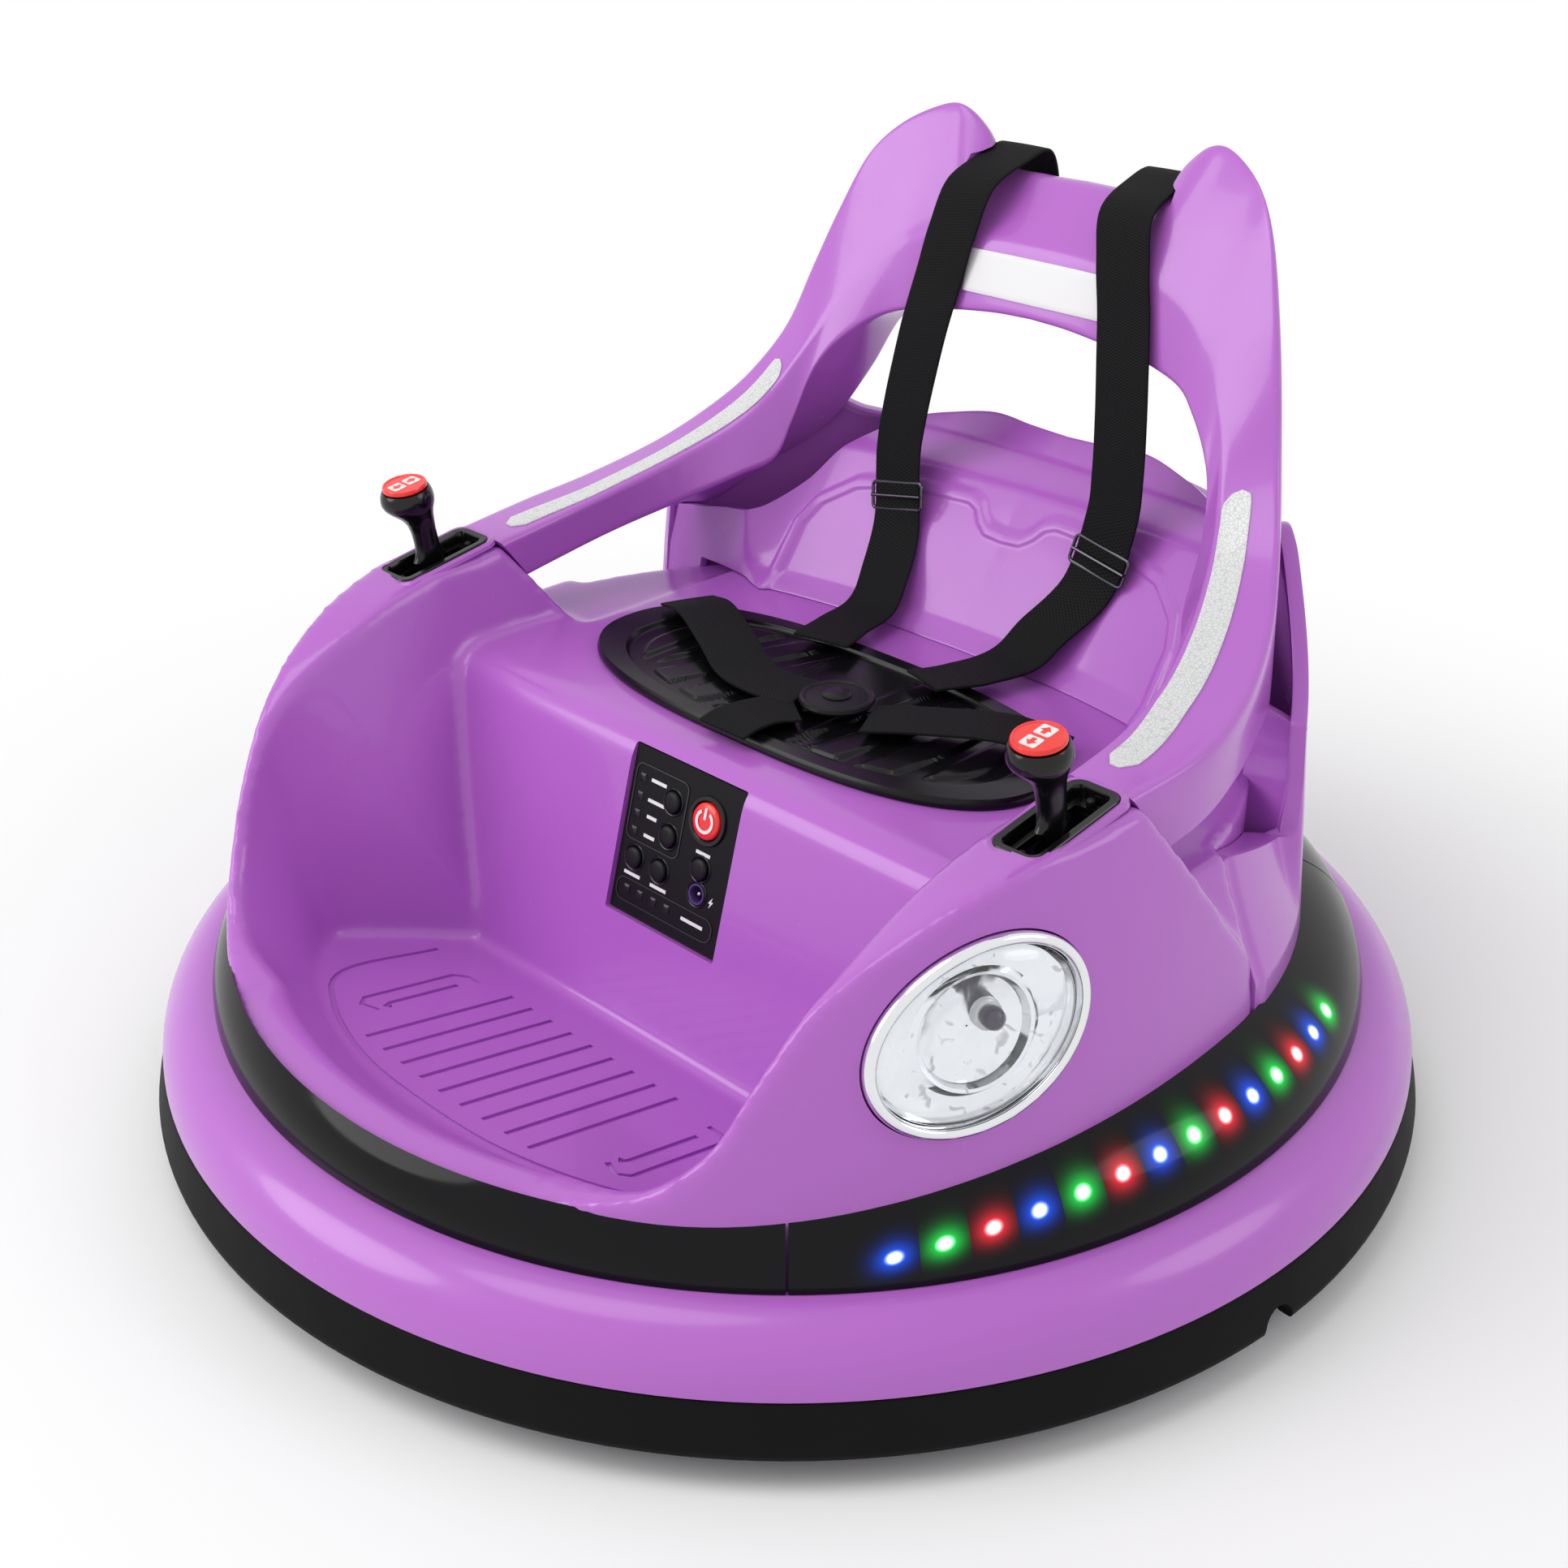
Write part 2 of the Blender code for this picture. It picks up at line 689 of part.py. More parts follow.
# The hoop from an arm's foot to the middle of the bar. Each row gives angle from the rear, then radius
# under the hoop's outer radius and height, for the inner edge, the ridge, the outer edge and the lower edge.
HOOP_ROWS = (
    ((100, 0.040, 0.226), (100, 0.040, 0.256), (100, 0.000, 0.257), (100, 0.001, 0.212)),
    ((86, 0.045, 0.236), (86, 0.0450, 0.264), (85, 0.000, 0.263), (85, 0.001, 0.219)),
    ((75, 0.045, 0.246), (75, 0.0450, 0.274), (74, 0.000, 0.272), (74, 0.000, 0.228)),
    ((63, 0.047, 0.260), (64, 0.0430, 0.288), (63, 0.000, 0.290), (63, -0.002, 0.240)),
    ((53, 0.049, 0.2755), (54.5, 0.037, 0.3045), (54.5, 0.000, 0.314), (56, -0.003, 0.240)),
    ((47, 0.044, 0.284), (48.5, 0.032, 0.322), (49.5, 0.000, 0.335), (51, -0.004, 0.254)),
    ((44.2, 0.037, 0.306), (44, 0.029, 0.344), (45, 0.000, 0.363), (47, -0.005, 0.266)),
    ((41.5, 0.034, 0.335), (40, 0.027, 0.367), (41.5, 0.000, 0.400), (42, -0.005, 0.280)),
    ((38.5, 0.035, 0.354), (36.5, 0.0265, 0.388), (38, 0.000, 0.436), (37.5, -0.005, 0.300)),
    ((34, 0.037, 0.3695), (32, 0.0285, 0.408), (34, 0.000, 0.471), (33, -0.005, 0.332)),
    ((29.5, 0.0385, 0.379), (27, 0.034, 0.4235), (29.5, 0.000, 0.491), (29, -0.005, 0.366)),
    ((24, 0.045, 0.385), (22, 0.041, 0.4325), (24, 0.002, 0.5035), (24, -0.005, 0.386)),
    ((20, 0.051, 0.388), (19, 0.045, 0.4332), (20.5, 0.006, 0.505), (20, -0.005, 0.389)),
    ((17, 0.0555, 0.390), (16.5, 0.048, 0.4336), (17, 0.009, 0.494), (17, -0.005, 0.391)),
    ((13.5, 0.059, 0.392), (13.5, 0.050, 0.434), (13.5, 0.0125, 0.4745), (13.5, -0.005, 0.393)),
    ((7, 0.063, 0.3945), (7, 0.0525, 0.4355), (7, 0.018, 0.472), (7, -0.005, 0.3955)),
    ((0, 0.0645, 0.3955), (0, 0.0535, 0.436), (0, 0.0188, 0.472), (0, -0.005, 0.3965)),
)


def hoop_height(height):
    """Hoop heights are drawn for a bar and arm at their usual heights, and follow both."""
    drawn_arm, drawn_horn = 0.258, 0.505
    return ARM_H + (height - drawn_arm) * (HORN_H - ARM_H) / (drawn_horn - drawn_arm)


def hoop_point(row, k):
    angle, inward, height = row[k]
    return place(180 - angle, HOOP_R - inward, up(hoop_height(height)))


def hoop_lines(steps=2):
    """The hoop's right half as five smooth lines: inner edge, ridge, outer edge, its round, lower edge."""
    lines = []
    for k in range(4):
        lines.append(spline([hoop_point(row, k) for row in HOOP_ROWS], steps))
    rounded = []
    for edge, lower in zip(lines[2], lines[3]):
        flat = edge.to_2d().normalized()
        drop = 0.010
        reach = max(edge.to_2d().length, lower.to_2d().length - 0.003) + 0.001
        rounded.append(Vector((flat.x * reach, flat.y * reach, edge.z - drop)))
    return [lines[0], lines[1], lines[2], rounded, lines[3]]


def make_hoop():
    lines = hoop_lines()
    right = [list(ring) for ring in zip(*lines)]
    left = [[Vector((-p.x, p.y, p.z)) for p in ring] for ring in right]
    hoop = loft(right + left[-2::-1])
    normal = Vector((0, 1, FENDER_END_SLOPE)).normalized()
    foot = Vector((0, FENDER_END_Y, up(ARM_H))) + normal * GAP
    cut = bmesh.ops.bisect_plane(
        hoop,
        geom=hoop.verts[:] + hoop.edges[:] + hoop.faces[:],
        plane_co=foot,
        plane_no=normal,
        clear_inner=True,
    )
    bmesh.ops.holes_fill(hoop, edges=[e for e in cut["geom_cut"] if isinstance(e, bmesh.types.BMEdge)])
    obj = add("roll_hoop", hoop, PURPLE, 0.2)
    for side in (-1, 1):
        make_stripe(side, lines, obj)
    make_label(obj)


def make_stripe(side, lines, hoop):
    """A reflective stripe let into the arm's upper face, between the ridge and the outer edge."""
    first, last = 1, 11
    rings, pocket = [], []
    for k in range(first, last + 1):
        ridge, edge = lines[1][k], lines[2][k]
        ahead = lines[1][k + 1] - lines[1][k - 1]
        across = (edge - ridge).normalized()
        normal = across.cross(ahead).normalized()
        if normal.z < 0:
            normal = -normal
        middle = ridge.lerp(edge, STRIPE_AT)
        a, b = middle - across * STRIPE_W / 2, middle + across * STRIPE_W / 2
        rings.append(strip_ring(a, b, normal, 0.0004, STRIPE_T, side))
        grow = across * GAP
        pocket.append(strip_ring(a - grow, b + grow, normal, 0.004, STRIPE_T + GAP, side))
    start = (pocket[0][0] - pocket[1][0]).normalized() * GAP
    end = (pocket[-1][0] - pocket[-2][0]).normalized() * GAP
    pocket[0] = [p + start for p in pocket[0]]
    pocket[-1] = [p + end for p in pocket[-1]]
    boolean(hoop, add(side_name("stripe_pocket", side), loft(pocket)))
    add(side_name("reflective_stripe", side), loft(rings), WHITE, 0.4)


def strip_ring(a, b, normal, proud, depth, side):
    ring = [a + normal * proud, b + normal * proud, b - normal * depth, a - normal * depth]
    return [Vector((side * p.x, p.y, p.z)) for p in ring]


def make_label(hoop):
    """A bare white plate on the bar's front, between the shoulder straps."""
    low, high = hoop_point(HOOP_ROWS[-1], 0), hoop_point(HOOP_ROWS[-1], 1)
    lean = math.atan2(high.y - low.y, high.z - low.z)
    middle = low.lerp(high, 0.52)
    frame = empty("label_frame", middle, (-lean, 0, 0))
    pocket = box((PLATE_W + 2 * GAP, 0.02, PLATE_H + 2 * GAP), (0, -0.01 + PLATE_T / 2 + GAP, 0))
    boolean(hoop, add("label_pocket", pocket, parent=frame))
    plate = box((PLATE_W, PLATE_T, PLATE_H))
    add("label_plate", plate, WHITE, 0.4, parent=frame)


# Height of the rear shell's edge over the arms' feet, by angle from the front
REAR_RISE = (
    (118.4, -0.022), (124, -0.008), (129, 0.010), (133, 0.028),
    (137, 0.048), (140, 0.054), (146, 0.044), (156, 0.038),
)


def make_rear_shell():
    """The rear wall from one side panel round the back to the other."""
    edge = SPLIT_ANGLE + 0.6
    angles = [edge, 106, 110, 114, 117.4, 118.4, 121, 124, 129, 133, 136, 140, 145, 150, 160, 170]
    angles = angles + [180] + [360 - a for a in reversed(angles)]
    shelf, pillar = 117.4, 118.4

    def top_height(angle):
        if angle <= shelf:
            return SEAT_H - 0.0101 - 0.0205 * (angle - edge) / (shelf - edge)
        return ARM_H + along(REAR_RISE, angle)

    def ring(angle):
        folded = angle if angle <= 180 else 360 - angle
        top = top_height(folded)
        ledge_r = REAR_R - 0.026 + 0.010 * (folded - edge) / (shelf - edge)
        levels = (BODY_FOOT, 0.118, SIDE_LOW_H, 0.160, top)
        skin = []
        for height in levels:
            radius = REAR_R - 0.0765 * max(height - 0.11, 0)
            if folded <= shelf:
                lean = max(height - SIDE_LOW_H, 0) / (top - SIDE_LOW_H)
                radius += (ledge_r - radius) * lean
            skin.append((radius, height))
        inner = [(r - WALL, h) for r, h in reversed(skin)]
        return [place(angle, r, up(h)) for r, h in skin + inner]

    add("rear_shell", loft([ring(a) for a in angles]), PURPLE, 0.2)


def make_seat_back():
    """The reclined back rest, with a wing at each side that reaches the rear shell."""
    foot = SEAT_H + GAP
    # Place across as a share of the rear radius, set back from the foot line, and share of the full height
    stations = (
        (0, 0.012, 1.0), (0.168, 0.011, 0.99), (0.315, 0.008, 0.945), (0.409, 0.004, 0.88),
        (0.476, 0.0, 0.73), (0.517, -0.004, 0.55),
    )
    # The wing's top keeps under the hoop's arms, by these shares of the room between the seat and the arms
    wing = ((0.577, -0.002, 0.829), (0.688, 0.001, 0.705), (0.758, 0.001, 0.622), (0.817, -0.001, 0.580))
    tops = [(x, back, foot + share * (BACK_TOP_H - foot)) for x, back, share in stations]
    tops += [(x, back, foot + share * (ARM_H - foot)) for x, back, share in wing]

    def ring(across, back, top):
        x = across * REAR_R
        front = []
        for k in range(6):
            height = foot + (top - foot) * k / 5
            climb = (height - foot) / (BACK_TOP_H - foot)
            lean = 0.70 * (height - foot) + 0.030 * smooth_step(0.62, 1.0, climb)
            upright = smooth_step(0.503, 0.604, abs(across))
            front.append((BACK_FOOT_Y + back + lean * (1 - 0.8 * upright), height))
        rear = [(y + BACK_T, h) for y, h in reversed(front)]
        return [Vector((x, y, up(h))) for y, h in front + rear]

    rings = [ring(-x, back, top) for x, back, top in reversed(tops[1:])]
    rings += [ring(x, back, top) for x, back, top in tops]
    add("seat_back", loft(rings), PURPLE, 0.25)


def make_headlight(side, body):
    frame = light_frame(side)
    a, b = LIGHT_A, LIGHT_B
    deep = -LIGHT_DEPTH - LIGHT_ROOM
    opening = oval_stack([(a + GAP, b + GAP, deep), (a + GAP, b + GAP, 0.03)])
    carve(body, add(side_name("light_opening", side), opening, parent=frame))
    inner_a, inner_b = a - LIGHT_RIM, b - LIGHT_RIM
    rim_levels = [(a, b, -0.008), (a, b, 0.003), (a - 0.002, b - 0.002, 0.006), (inner_a, inner_b, 0.004)]
    bezel = add(side_name("headlight_bezel", side), oval_stack(rim_levels), CHROME, 0.08, 1.0, parent=frame)
    hole = oval_stack([(inner_a, inner_b, -0.02), (inner_a, inner_b, 0.02)])
    boolean(bezel, add(side_name("bezel_hole", side), hole, parent=frame))
    la, lb = inner_a - GAP, inner_b - GAP
    dome = [(la, lb, -LENS_SINK), (la, lb, LENS_SINK)]
    dome += [(la * 0.8, lb * 0.8, 0.007), (la * 0.45, lb * 0.45, 0.010)]
    add(side_name("headlight_lens", side), oval_stack(dome), CLEAR, 0.05, parent=frame)
    rim = -LENS_SINK - GAP
    mid = -LIGHT_DEPTH * 0.6
    bowl = add(
        side_name("headlight_reflector", side),
        oval_stack([(la * 0.4, lb * 0.4, -LIGHT_DEPTH), (la * 0.84, lb * 0.84, mid), (la, lb, rim)]),
        CHROME, 0.1, 1.0, parent=frame,
    )
    skin = 0.003
    dish = [(la * 0.3, lb * 0.3, skin - LIGHT_DEPTH), (la * 0.76, lb * 0.76, mid + skin)]
    dish.append((la - skin, lb - skin, 0.01))
    boolean(bowl, add(side_name("reflector_dish", side), oval_stack(dish), parent=frame))
    foot = skin / 2 - LIGHT_DEPTH
    bulb = oval_stack([(0.005, 0.005, foot), (0.006, 0.006, foot + 0.006), (0.003, 0.003, foot + 0.011)])
    boolean(bowl, add(side_name("reflector_bulb", side), bulb, parent=frame), "UNION")


def make_joystick(side):
    frame = tray_frame(side)
    slot_l, slot_w = TRAY_L - 0.016, LEVER_W + 0.003
    tray = add(
        side_name("joystick_tray", side),
        box((TRAY_W, TRAY_L, TRAY_DEPTH), (0, 0, -TRAY_DEPTH / 2 + 0.002)),
        BLACK, 0.12, parent=frame,
    )
    room = (TRAY_W - 2 * TRAY_T, TRAY_L - 2 * TRAY_T, TRAY_DEPTH)
    inside = box(room, (0, 0, TRAY_T - TRAY_DEPTH / 2 + 0.002))
    boolean(tray, add(side_name("tray_room", side), inside, parent=frame))
    slot = box((slot_w, slot_l, 0.04), (0, 0, -0.01))
    boolean(tray, add(side_name("tray_slot", side), slot, parent=frame))
    pivot = empty(side_name("joystick_pivot", side), (0, -0.004, -TRAY_DEPTH - 0.004), parent=frame)
    width = LEVER_W
    knob = KNOB_R
    # Half width across and along, lean to the front, and height over the pivot
    shank = [
        (0.0045, 0.0045, 0, 0.004), (width / 2, 0.006, 0, 0.012), (width / 2, 0.010, 0.001, 0.020),
        (0.0068, 0.0078, 0.001, 0.0255), (0.0074, 0.0077, 0.001, 0.036), (0.0090, 0.0090, 0, 0.0440),
        (knob - 0.0028, knob - 0.0028, -0.0038, 0.0535), (knob, knob, -KNOB_LEAN, 0.060),
        (knob - 0.0015, knob - 0.0015, -KNOB_LEAN, KNOB_TOP),
    ]
    rings = [[Vector((x, y + lean, z)) for x, y, _ in oval(a, b, 0, 16)] for a, b, lean, z in shank]
    hub = rod(0.0058, width - 0.001, "X", sides=20)
    lever = add(side_name("joystick_lever", side), loft(rings), BLACK, 0.15, parent=pivot)
    boolean(lever, add(side_name("lever_hub", side), hub, parent=pivot), "UNION")
    trunnion = rod(PIN_R, TRAY_W - 0.008, "X", sides=20)
    boolean(lever, add(side_name("lever_trunnion", side), trunnion, parent=pivot), "UNION")
    cap = rod(CAP_R, CAP_T, at=(0, -KNOB_LEAN, KNOB_TOP + CAP_T / 2 + RUNNING), top_radius=CAP_R - 0.0008)
    add(side_name("joystick_cap", side), cap, RED, 0.25, parent=pivot)


# Panel layout: name, radius, place across and up the panel
PANEL_BUTTONS = (
    ("power_button", POWER_R, 0.0195, 0.0245, RED),
    ("joystick_button", BUTTON_R, -0.0090, 0.0255, BLACK),
    ("speed_button", BUTTON_R, -0.0080, 0.0055, BLACK),
    ("melody_button", BUTTON_R, -0.0315, -0.0155, BLACK),
    ("lamp_button", BUTTON_R, -0.0105, -0.0160, BLACK),
    ("pairing_button", BUTTON_R, 0.0205, -0.0035, BLACK),
)
SOCKET_PLACE = (0.0215, -0.0180)
INDICATORS = [(-0.0358, 0.0314), (-0.0358, 0.0205), (-0.0358, 0.0098), (-0.0358, -0.0005)]
INDICATORS += [(-0.0334 + 0.0112 * k, -0.0352) for k in range(4)]


def make_panel(frame):
    depth = PANEL_SINK + PANEL_T / 2
    plate = add("control_panel", box((PANEL_W, PANEL_T, PANEL_H), (0, depth, 0)), BLACK, 0.1, parent=frame)
    for name, radius, x, z, colour in PANEL_BUTTONS:
        hole = rod(radius + BUTTON_GAP, 0.05, "Y", at=(x, depth, z), sides=20)
        boolean(plate, add(name + "_hole", hole, parent=frame))
        stem = rod(radius, BUTTON_L, "Y", at=(x, PANEL_SINK - BUTTON_PROUD + BUTTON_L / 2, z), sides=20)
        add(name, stem, colour, 0.2, parent=frame)
    x, z = SOCKET_PLACE
    hole = rod(SOCKET_R + GAP, 0.05, "Y", at=(x, depth, z))
    boolean(plate, add("socket_hole", hole, parent=frame))
    face = PANEL_SINK - 0.001
    barrel = rod(SOCKET_R, SOCKET_L, "Y", at=(x, face + SOCKET_L / 2, z))
    socket = add("charging_socket", barrel, GREY, 0.3, parent=frame)
    jack = rod(SOCKET_R - 0.002, SOCKET_L, "Y", at=(x, face + 0.004, z))
    boolean(socket, add("socket_bore", jack, parent=frame))
    dots = []
    for x, z in INDICATORS:
        hole = rod(LAMP_DOT_R + GAP, 0.05, "Y", at=(x, depth, z), sides=8)
        boolean(plate, add("indicator_hole", hole, parent=frame))
        dot_at = (x, PANEL_SINK - 0.0004 + LAMP_DOT_L / 2, z)
        dots.append(rod(LAMP_DOT_R, LAMP_DOT_L, "Y", at=dot_at, sides=8))
    make_light_guide(dots, frame)
    board_y = PANEL_SINK - BUTTON_PROUD + BUTTON_L + BUTTON_TRAVEL + 0.002
    board = box((PANEL_W - 0.012, 0.0016, PANEL_H - 0.012), (0, board_y + 0.012, 0))
    add("panel_board", board, BOARD_GREEN, 0.5, parent=frame)


def make_light_guide(dots, frame):
    """The indicator lamps: clear studs on a bent bar behind the panel, past the buttons' left side."""
    back = PANEL_SINK + PANEL_T + GAP
    thick, wide = 0.002, 0.006
    left = 0.0015 - PANEL_W / 2
    column = INDICATORS[0][0] + wide / 2
    top, split = INDICATORS[0][1] + wide / 2, INDICATORS[3][1] - wide / 2
    low, right = INDICATORS[-1][1], INDICATORS[-1][0] + wide / 2

    def bar(x0, x1, z0, z1, depth):
        return box((x1 - x0, depth, z1 - z0), ((x0 + x1) / 2, back + depth / 2, (z0 + z1) / 2))

    guide = add("indicator_lamps", bar(left, column, split, top, thick), WHITE, 0.2, parent=frame)
    link = bar(left, left + 0.0042, low, split + 0.001, thick * 0.95)
    boolean(guide, add("light_guide_link", link, parent=frame), "UNION")
    foot = bar(left, right, low - wide / 2, low + wide * 0.4, thick * 0.9)
    boolean(guide, add("light_guide_foot", foot, parent=frame), "UNION")
    boolean(guide, add("light_guide_studs", join(*dots), parent=frame), "UNION")


def make_seat_pad():
    sides = 48

    def outline(grow, z):
        points = []
        for k in range(sides):
            t = 2 * math.pi * k / sides
            c, s = math.cos(t), math.sin(t)
            x = (PAD_L + grow) * math.copysign(abs(c) ** 0.72, c)
            y = PAD_Y + (PAD_W + grow) * math.copysign(abs(s) ** 0.85, s)
            points.append((x, y, z))
        return points

    low = up(SEAT_H) + GAP
    top = low + PAD_T
    add("seat_pad", loft([outline(0, low), outline(0, top - 0.002), outline(-0.002, top)]), BLACK, 0.2)


def ribbon(route, width_way, grow=0, steps=3):
    """Flat webbing along a route, with the direction of its width at each route point."""
    middle = spline(route, steps)
    ways = spline(width_way, steps)
    rings = []
    for k, point in enumerate(middle):
        ahead = middle[min(k + 1, len(middle) - 1)] - middle[max(k - 1, 0)]
        way = (ways[k] - ahead * (ways[k].dot(ahead) / ahead.length_squared)).normalized()
        normal = ahead.cross(way).normalized()
        wide, thick = way * (WEB_W / 2 + grow), normal * (WEB_T / 2 + grow)
        rings.append([point - wide - thick, point + wide - thick, point + wide + thick, point - wide + thick])
    return loft(rings)


# A shoulder strap's free hang: spread across, set in from the hoop's radius, share of the drop to the pad
STRAP_HANG = (
    (1.045, 0.0524, 0.974), (1.155, 0.061, 0.8725), (1.264, 0.065, 0.766), (1.364, 0.070, 0.658),
    (1.445, 0.074, 0.549), (1.51, 0.078, 0.437), (1.527, 0.082, 0.332), (1.39, 0.0905, 0.173),
)


def make_harness():
    pad_top = up(SEAT_H) + PAD_T + GAP
    for side in (-1, 1):
        x = side * STRAP_X
        bar_top = hoop_point(HOOP_ROWS[-1], 2).z
        behind = math.sqrt((HOOP_R + 0.005) ** 2 - (STRAP_X - WEB_W / 2) ** 2) + 0.003
        route = [
            Vector((x, behind, bar_top - 0.036)),
            Vector((x, behind, bar_top - 0.010)),
            Vector((x, HOOP_R - 0.004, bar_top + 0.0085)),
            Vector((x, HOOP_R - 0.026, bar_top + 0.005)),
        ]
        for spread, back, share in STRAP_HANG:
            route.append(Vector((x * spread, HOOP_R - back, pad_top + (bar_top - pad_top) * share)))
        route += [
            Vector((x * 1.16, BACK_FOOT_Y + 0.015, pad_top + 0.020)),
            Vector((x * 1.05, BACK_FOOT_Y - 0.004, pad_top + 0.006)),
            Vector((x * 0.93, BACK_FOOT_Y - 0.036, pad_top + 0.005)),
            Vector((x * 0.75, BACK_FOOT_Y - 0.066, pad_top + 0.007)),
        ]
        ways = [Vector((1, 0, 0))] * (len(route) - 2)
        ways += [Vector((1, side * 0.2, 0)), Vector((1, side * 0.4, 0))]
        add(side_name("shoulder_strap", side), ribbon(route, ways), RUBBER, 0.8)
        slot = ribbon(route[:5], ways[:5], STRAP_SLOT)
        boolean(bpy.data.objects["roll_hoop"], add(side_name("strap_slot", side), slot))
        lap = [
            Vector((side * 0.152, 0.062, pad_top + 0.003)),
            Vector((side * 0.122, 0.050, pad_top + 0.010)),
            Vector((side * 0.082, 0.030, pad_top + 0.008)),
            Vector((side * 0.050, 0.014, pad_top + 0.004)),
        ]
        add(side_name("lap_strap", side), ribbon(lap, [Vector((0.4, -side * 0.9, 0))] * 4), RUBBER, 0.8)
    crotch = [
        Vector((0, -0.052, pad_top + 0.003)),
        Vector((0, -0.040, pad_top + 0.005)),
        Vector((0, -0.024, pad_top + 0.004)),
    ]
    add("crotch_strap", ribbon(crotch, [Vector((1, 0, 0))] * 3), RUBBER, 0.8)
    disc = rod(BUCKLE_R, BUCKLE_T, at=(*BUCKLE_PLACE, pad_top + 0.002 + BUCKLE_T / 2))
    round_edges(add("centre_buckle", disc, BLACK, 0.2), 0.003)


def make_chassis():
    foot = up(PAN_H)
    rim = up(BODY_FOOT) - GAP
    drain_r = 0.004
    floor = foot + PAN_T
    outer = [(PAN_R, rim), (PAN_R, foot), (drain_r, foot)]
    inner = [(drain_r, floor), (PAN_R - PAN_T, floor), (PAN_R - PAN_T, rim)]
    pan = turned("chassis_pan", outer + inner, BLACK, 0.5, steps=48)
    for side in (-1, 1):
        hole = box((WHEEL_W + 0.010, 2 * WHEEL_R + 0.010, 0.1), (side * WHEEL_X, WHEEL_Y, foot))
        boolean(pan, add(side_name("wheel_hole", side), hole))
        make_drive(side, floor)
    for name, y in (("front", -CASTER_Y), ("rear", CASTER_Y)):
        make_caster(name, y, foot)
    make_electrics(floor + GAP)


def make_drive(side, floor):
    axle_z = WHEEL_R
    hub = empty(side_name("wheel_axis", side), (side * WHEEL_X, WHEEL_Y, axle_z))
    half = WHEEL_W / 2
    edge = 0.004
    bore = AXLE_R + RUNNING
    tyre = [(WHEEL_R - edge, half), (WHEEL_R, half - edge), (WHEEL_R, edge - half), (WHEEL_R - edge, -half)]
    tyre += [(bore, -half), (bore, half)]
    turned(side_name("drive_wheel", side), tyre, BLACK, 0.6, steps=32, parent=hub, turn=(0, math.pi / 2, 0))
    long, _, tall = GEARBOX
    inner = WHEEL_X - half - 0.004 - long
    middle = side * (inner + long / 2)
    base = floor + GAP
    gearbox = add(side_name("gearbox", side), box(GEARBOX, (middle, WHEEL_Y, base + tall / 2)), GREY, 0.4)
    axle_length = WHEEL_X + half - inner + 0.008
    bearing = rod(AXLE_R + RUNNING, 2 * long, "X", at=(middle, WHEEL_Y, axle_z), sides=20)
    boolean(gearbox, add(side_name("gearbox_bore", side), bearing))
    axle = rod(AXLE_R, axle_length, "X", at=(side * (inner + axle_length / 2), WHEEL_Y, axle_z), sides=20)
    add(side_name("axle", side), axle, GREY, 0.3, 1.0)
    can_at = (side * (inner - GAP - MOTOR_L / 2), WHEEL_Y, base + tall - MOTOR_R - 0.004)
    add(side_name("motor", side), rod(MOTOR_R, MOTOR_L, "X", at=can_at), GREY, 0.3, 1.0)


def make_caster(name, y, pan_foot):
    """A swivel caster: a flanged fork under the pan, with its wheel trailing behind the swivel."""
    swivel = empty("caster_swivel_" + name, (0, y, pan_foot))
    half = CASTER_W / 2 + 0.001
    drop = pan_foot - CASTER_R
    top = -GAP
    flange = rod(FLANGE_R, FLANGE_T, at=(0, 0, top - FLANGE_T / 2))
    fork = add("caster_fork_" + name, flange, GREY, 0.35, 1.0, parent=swivel)
    tall = drop + 0.004
    for side in (-1, 1):
        cheek_at = (side * (half + FORK_T / 2), CASTER_TRAIL, top - 0.001 - tall / 2)
        cheek = box((FORK_T, CHEEK_W, tall), cheek_at)
        boolean(fork, add(side_name("caster_cheek_" + name, side), cheek, parent=swivel), "UNION")
    pin = rod(CASTER_PIN_R, 2 * half + FORK_T, "X", at=(0, CASTER_TRAIL, -drop), sides=16)
    boolean(fork, add("caster_pin_" + name, pin, parent=swivel), "UNION")
    axis = empty("caster_axis_" + name, (0, CASTER_TRAIL, -drop), parent=swivel)
    edge, side_at, bore = 0.002, CASTER_W / 2, CASTER_PIN_R + RUNNING
    profile = [(CASTER_R - edge, side_at), (CASTER_R, side_at - edge), (CASTER_R, edge - side_at)]
    profile += [(CASTER_R - edge, -side_at), (bore, -side_at), (bore, side_at)]
    turned("caster_wheel_" + name, profile, BLACK, 0.5, steps=24, parent=axis, turn=(0, math.pi / 2, 0))


def make_electrics(base):
    battery = add("battery", box(BATTERY, (0, BATTERY_Y, base + BATTERY[2] / 2)), BLACK, 0.4)
    round_edges(battery, 0.003, 1)
    add("control_box", box(CONTROL_BOX, (0, CONTROL_Y, base + CONTROL_BOX[2] / 2)), BLACK, 0.4)
    cone = rod(SPEAKER_R, SPEAKER_H, at=(0, SPEAKER_Y, base + SPEAKER_H / 2), top_radius=SPEAKER_R * 0.6)
    add("speaker", cone, BLACK, 0.5)


def build():
    start_scene()
    make_bumper()
    make_band()
    panel = panel_frame()
    body = make_front_body(panel)
    make_hoop()
    make_rear_shell()
    make_seat_back()
    for side in (-1, 1):
        make_headlight(side, body)
        make_joystick(side)
    make_panel(panel)
    make_seat_pad()
    make_harness()
    make_chassis()


build()
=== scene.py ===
"""How the child's bumper car looks: glossy purple shells, a lit smoked band, chrome headlights, black webbing
and a moulded seat pad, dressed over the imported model.

Metres, +Z up, -Y is the front, and angles run from the front to +X."""

import json
import math

import bmesh
import bpy
from mathutils import Matrix, Vector
from mathutils.bvhtree import BVHTree

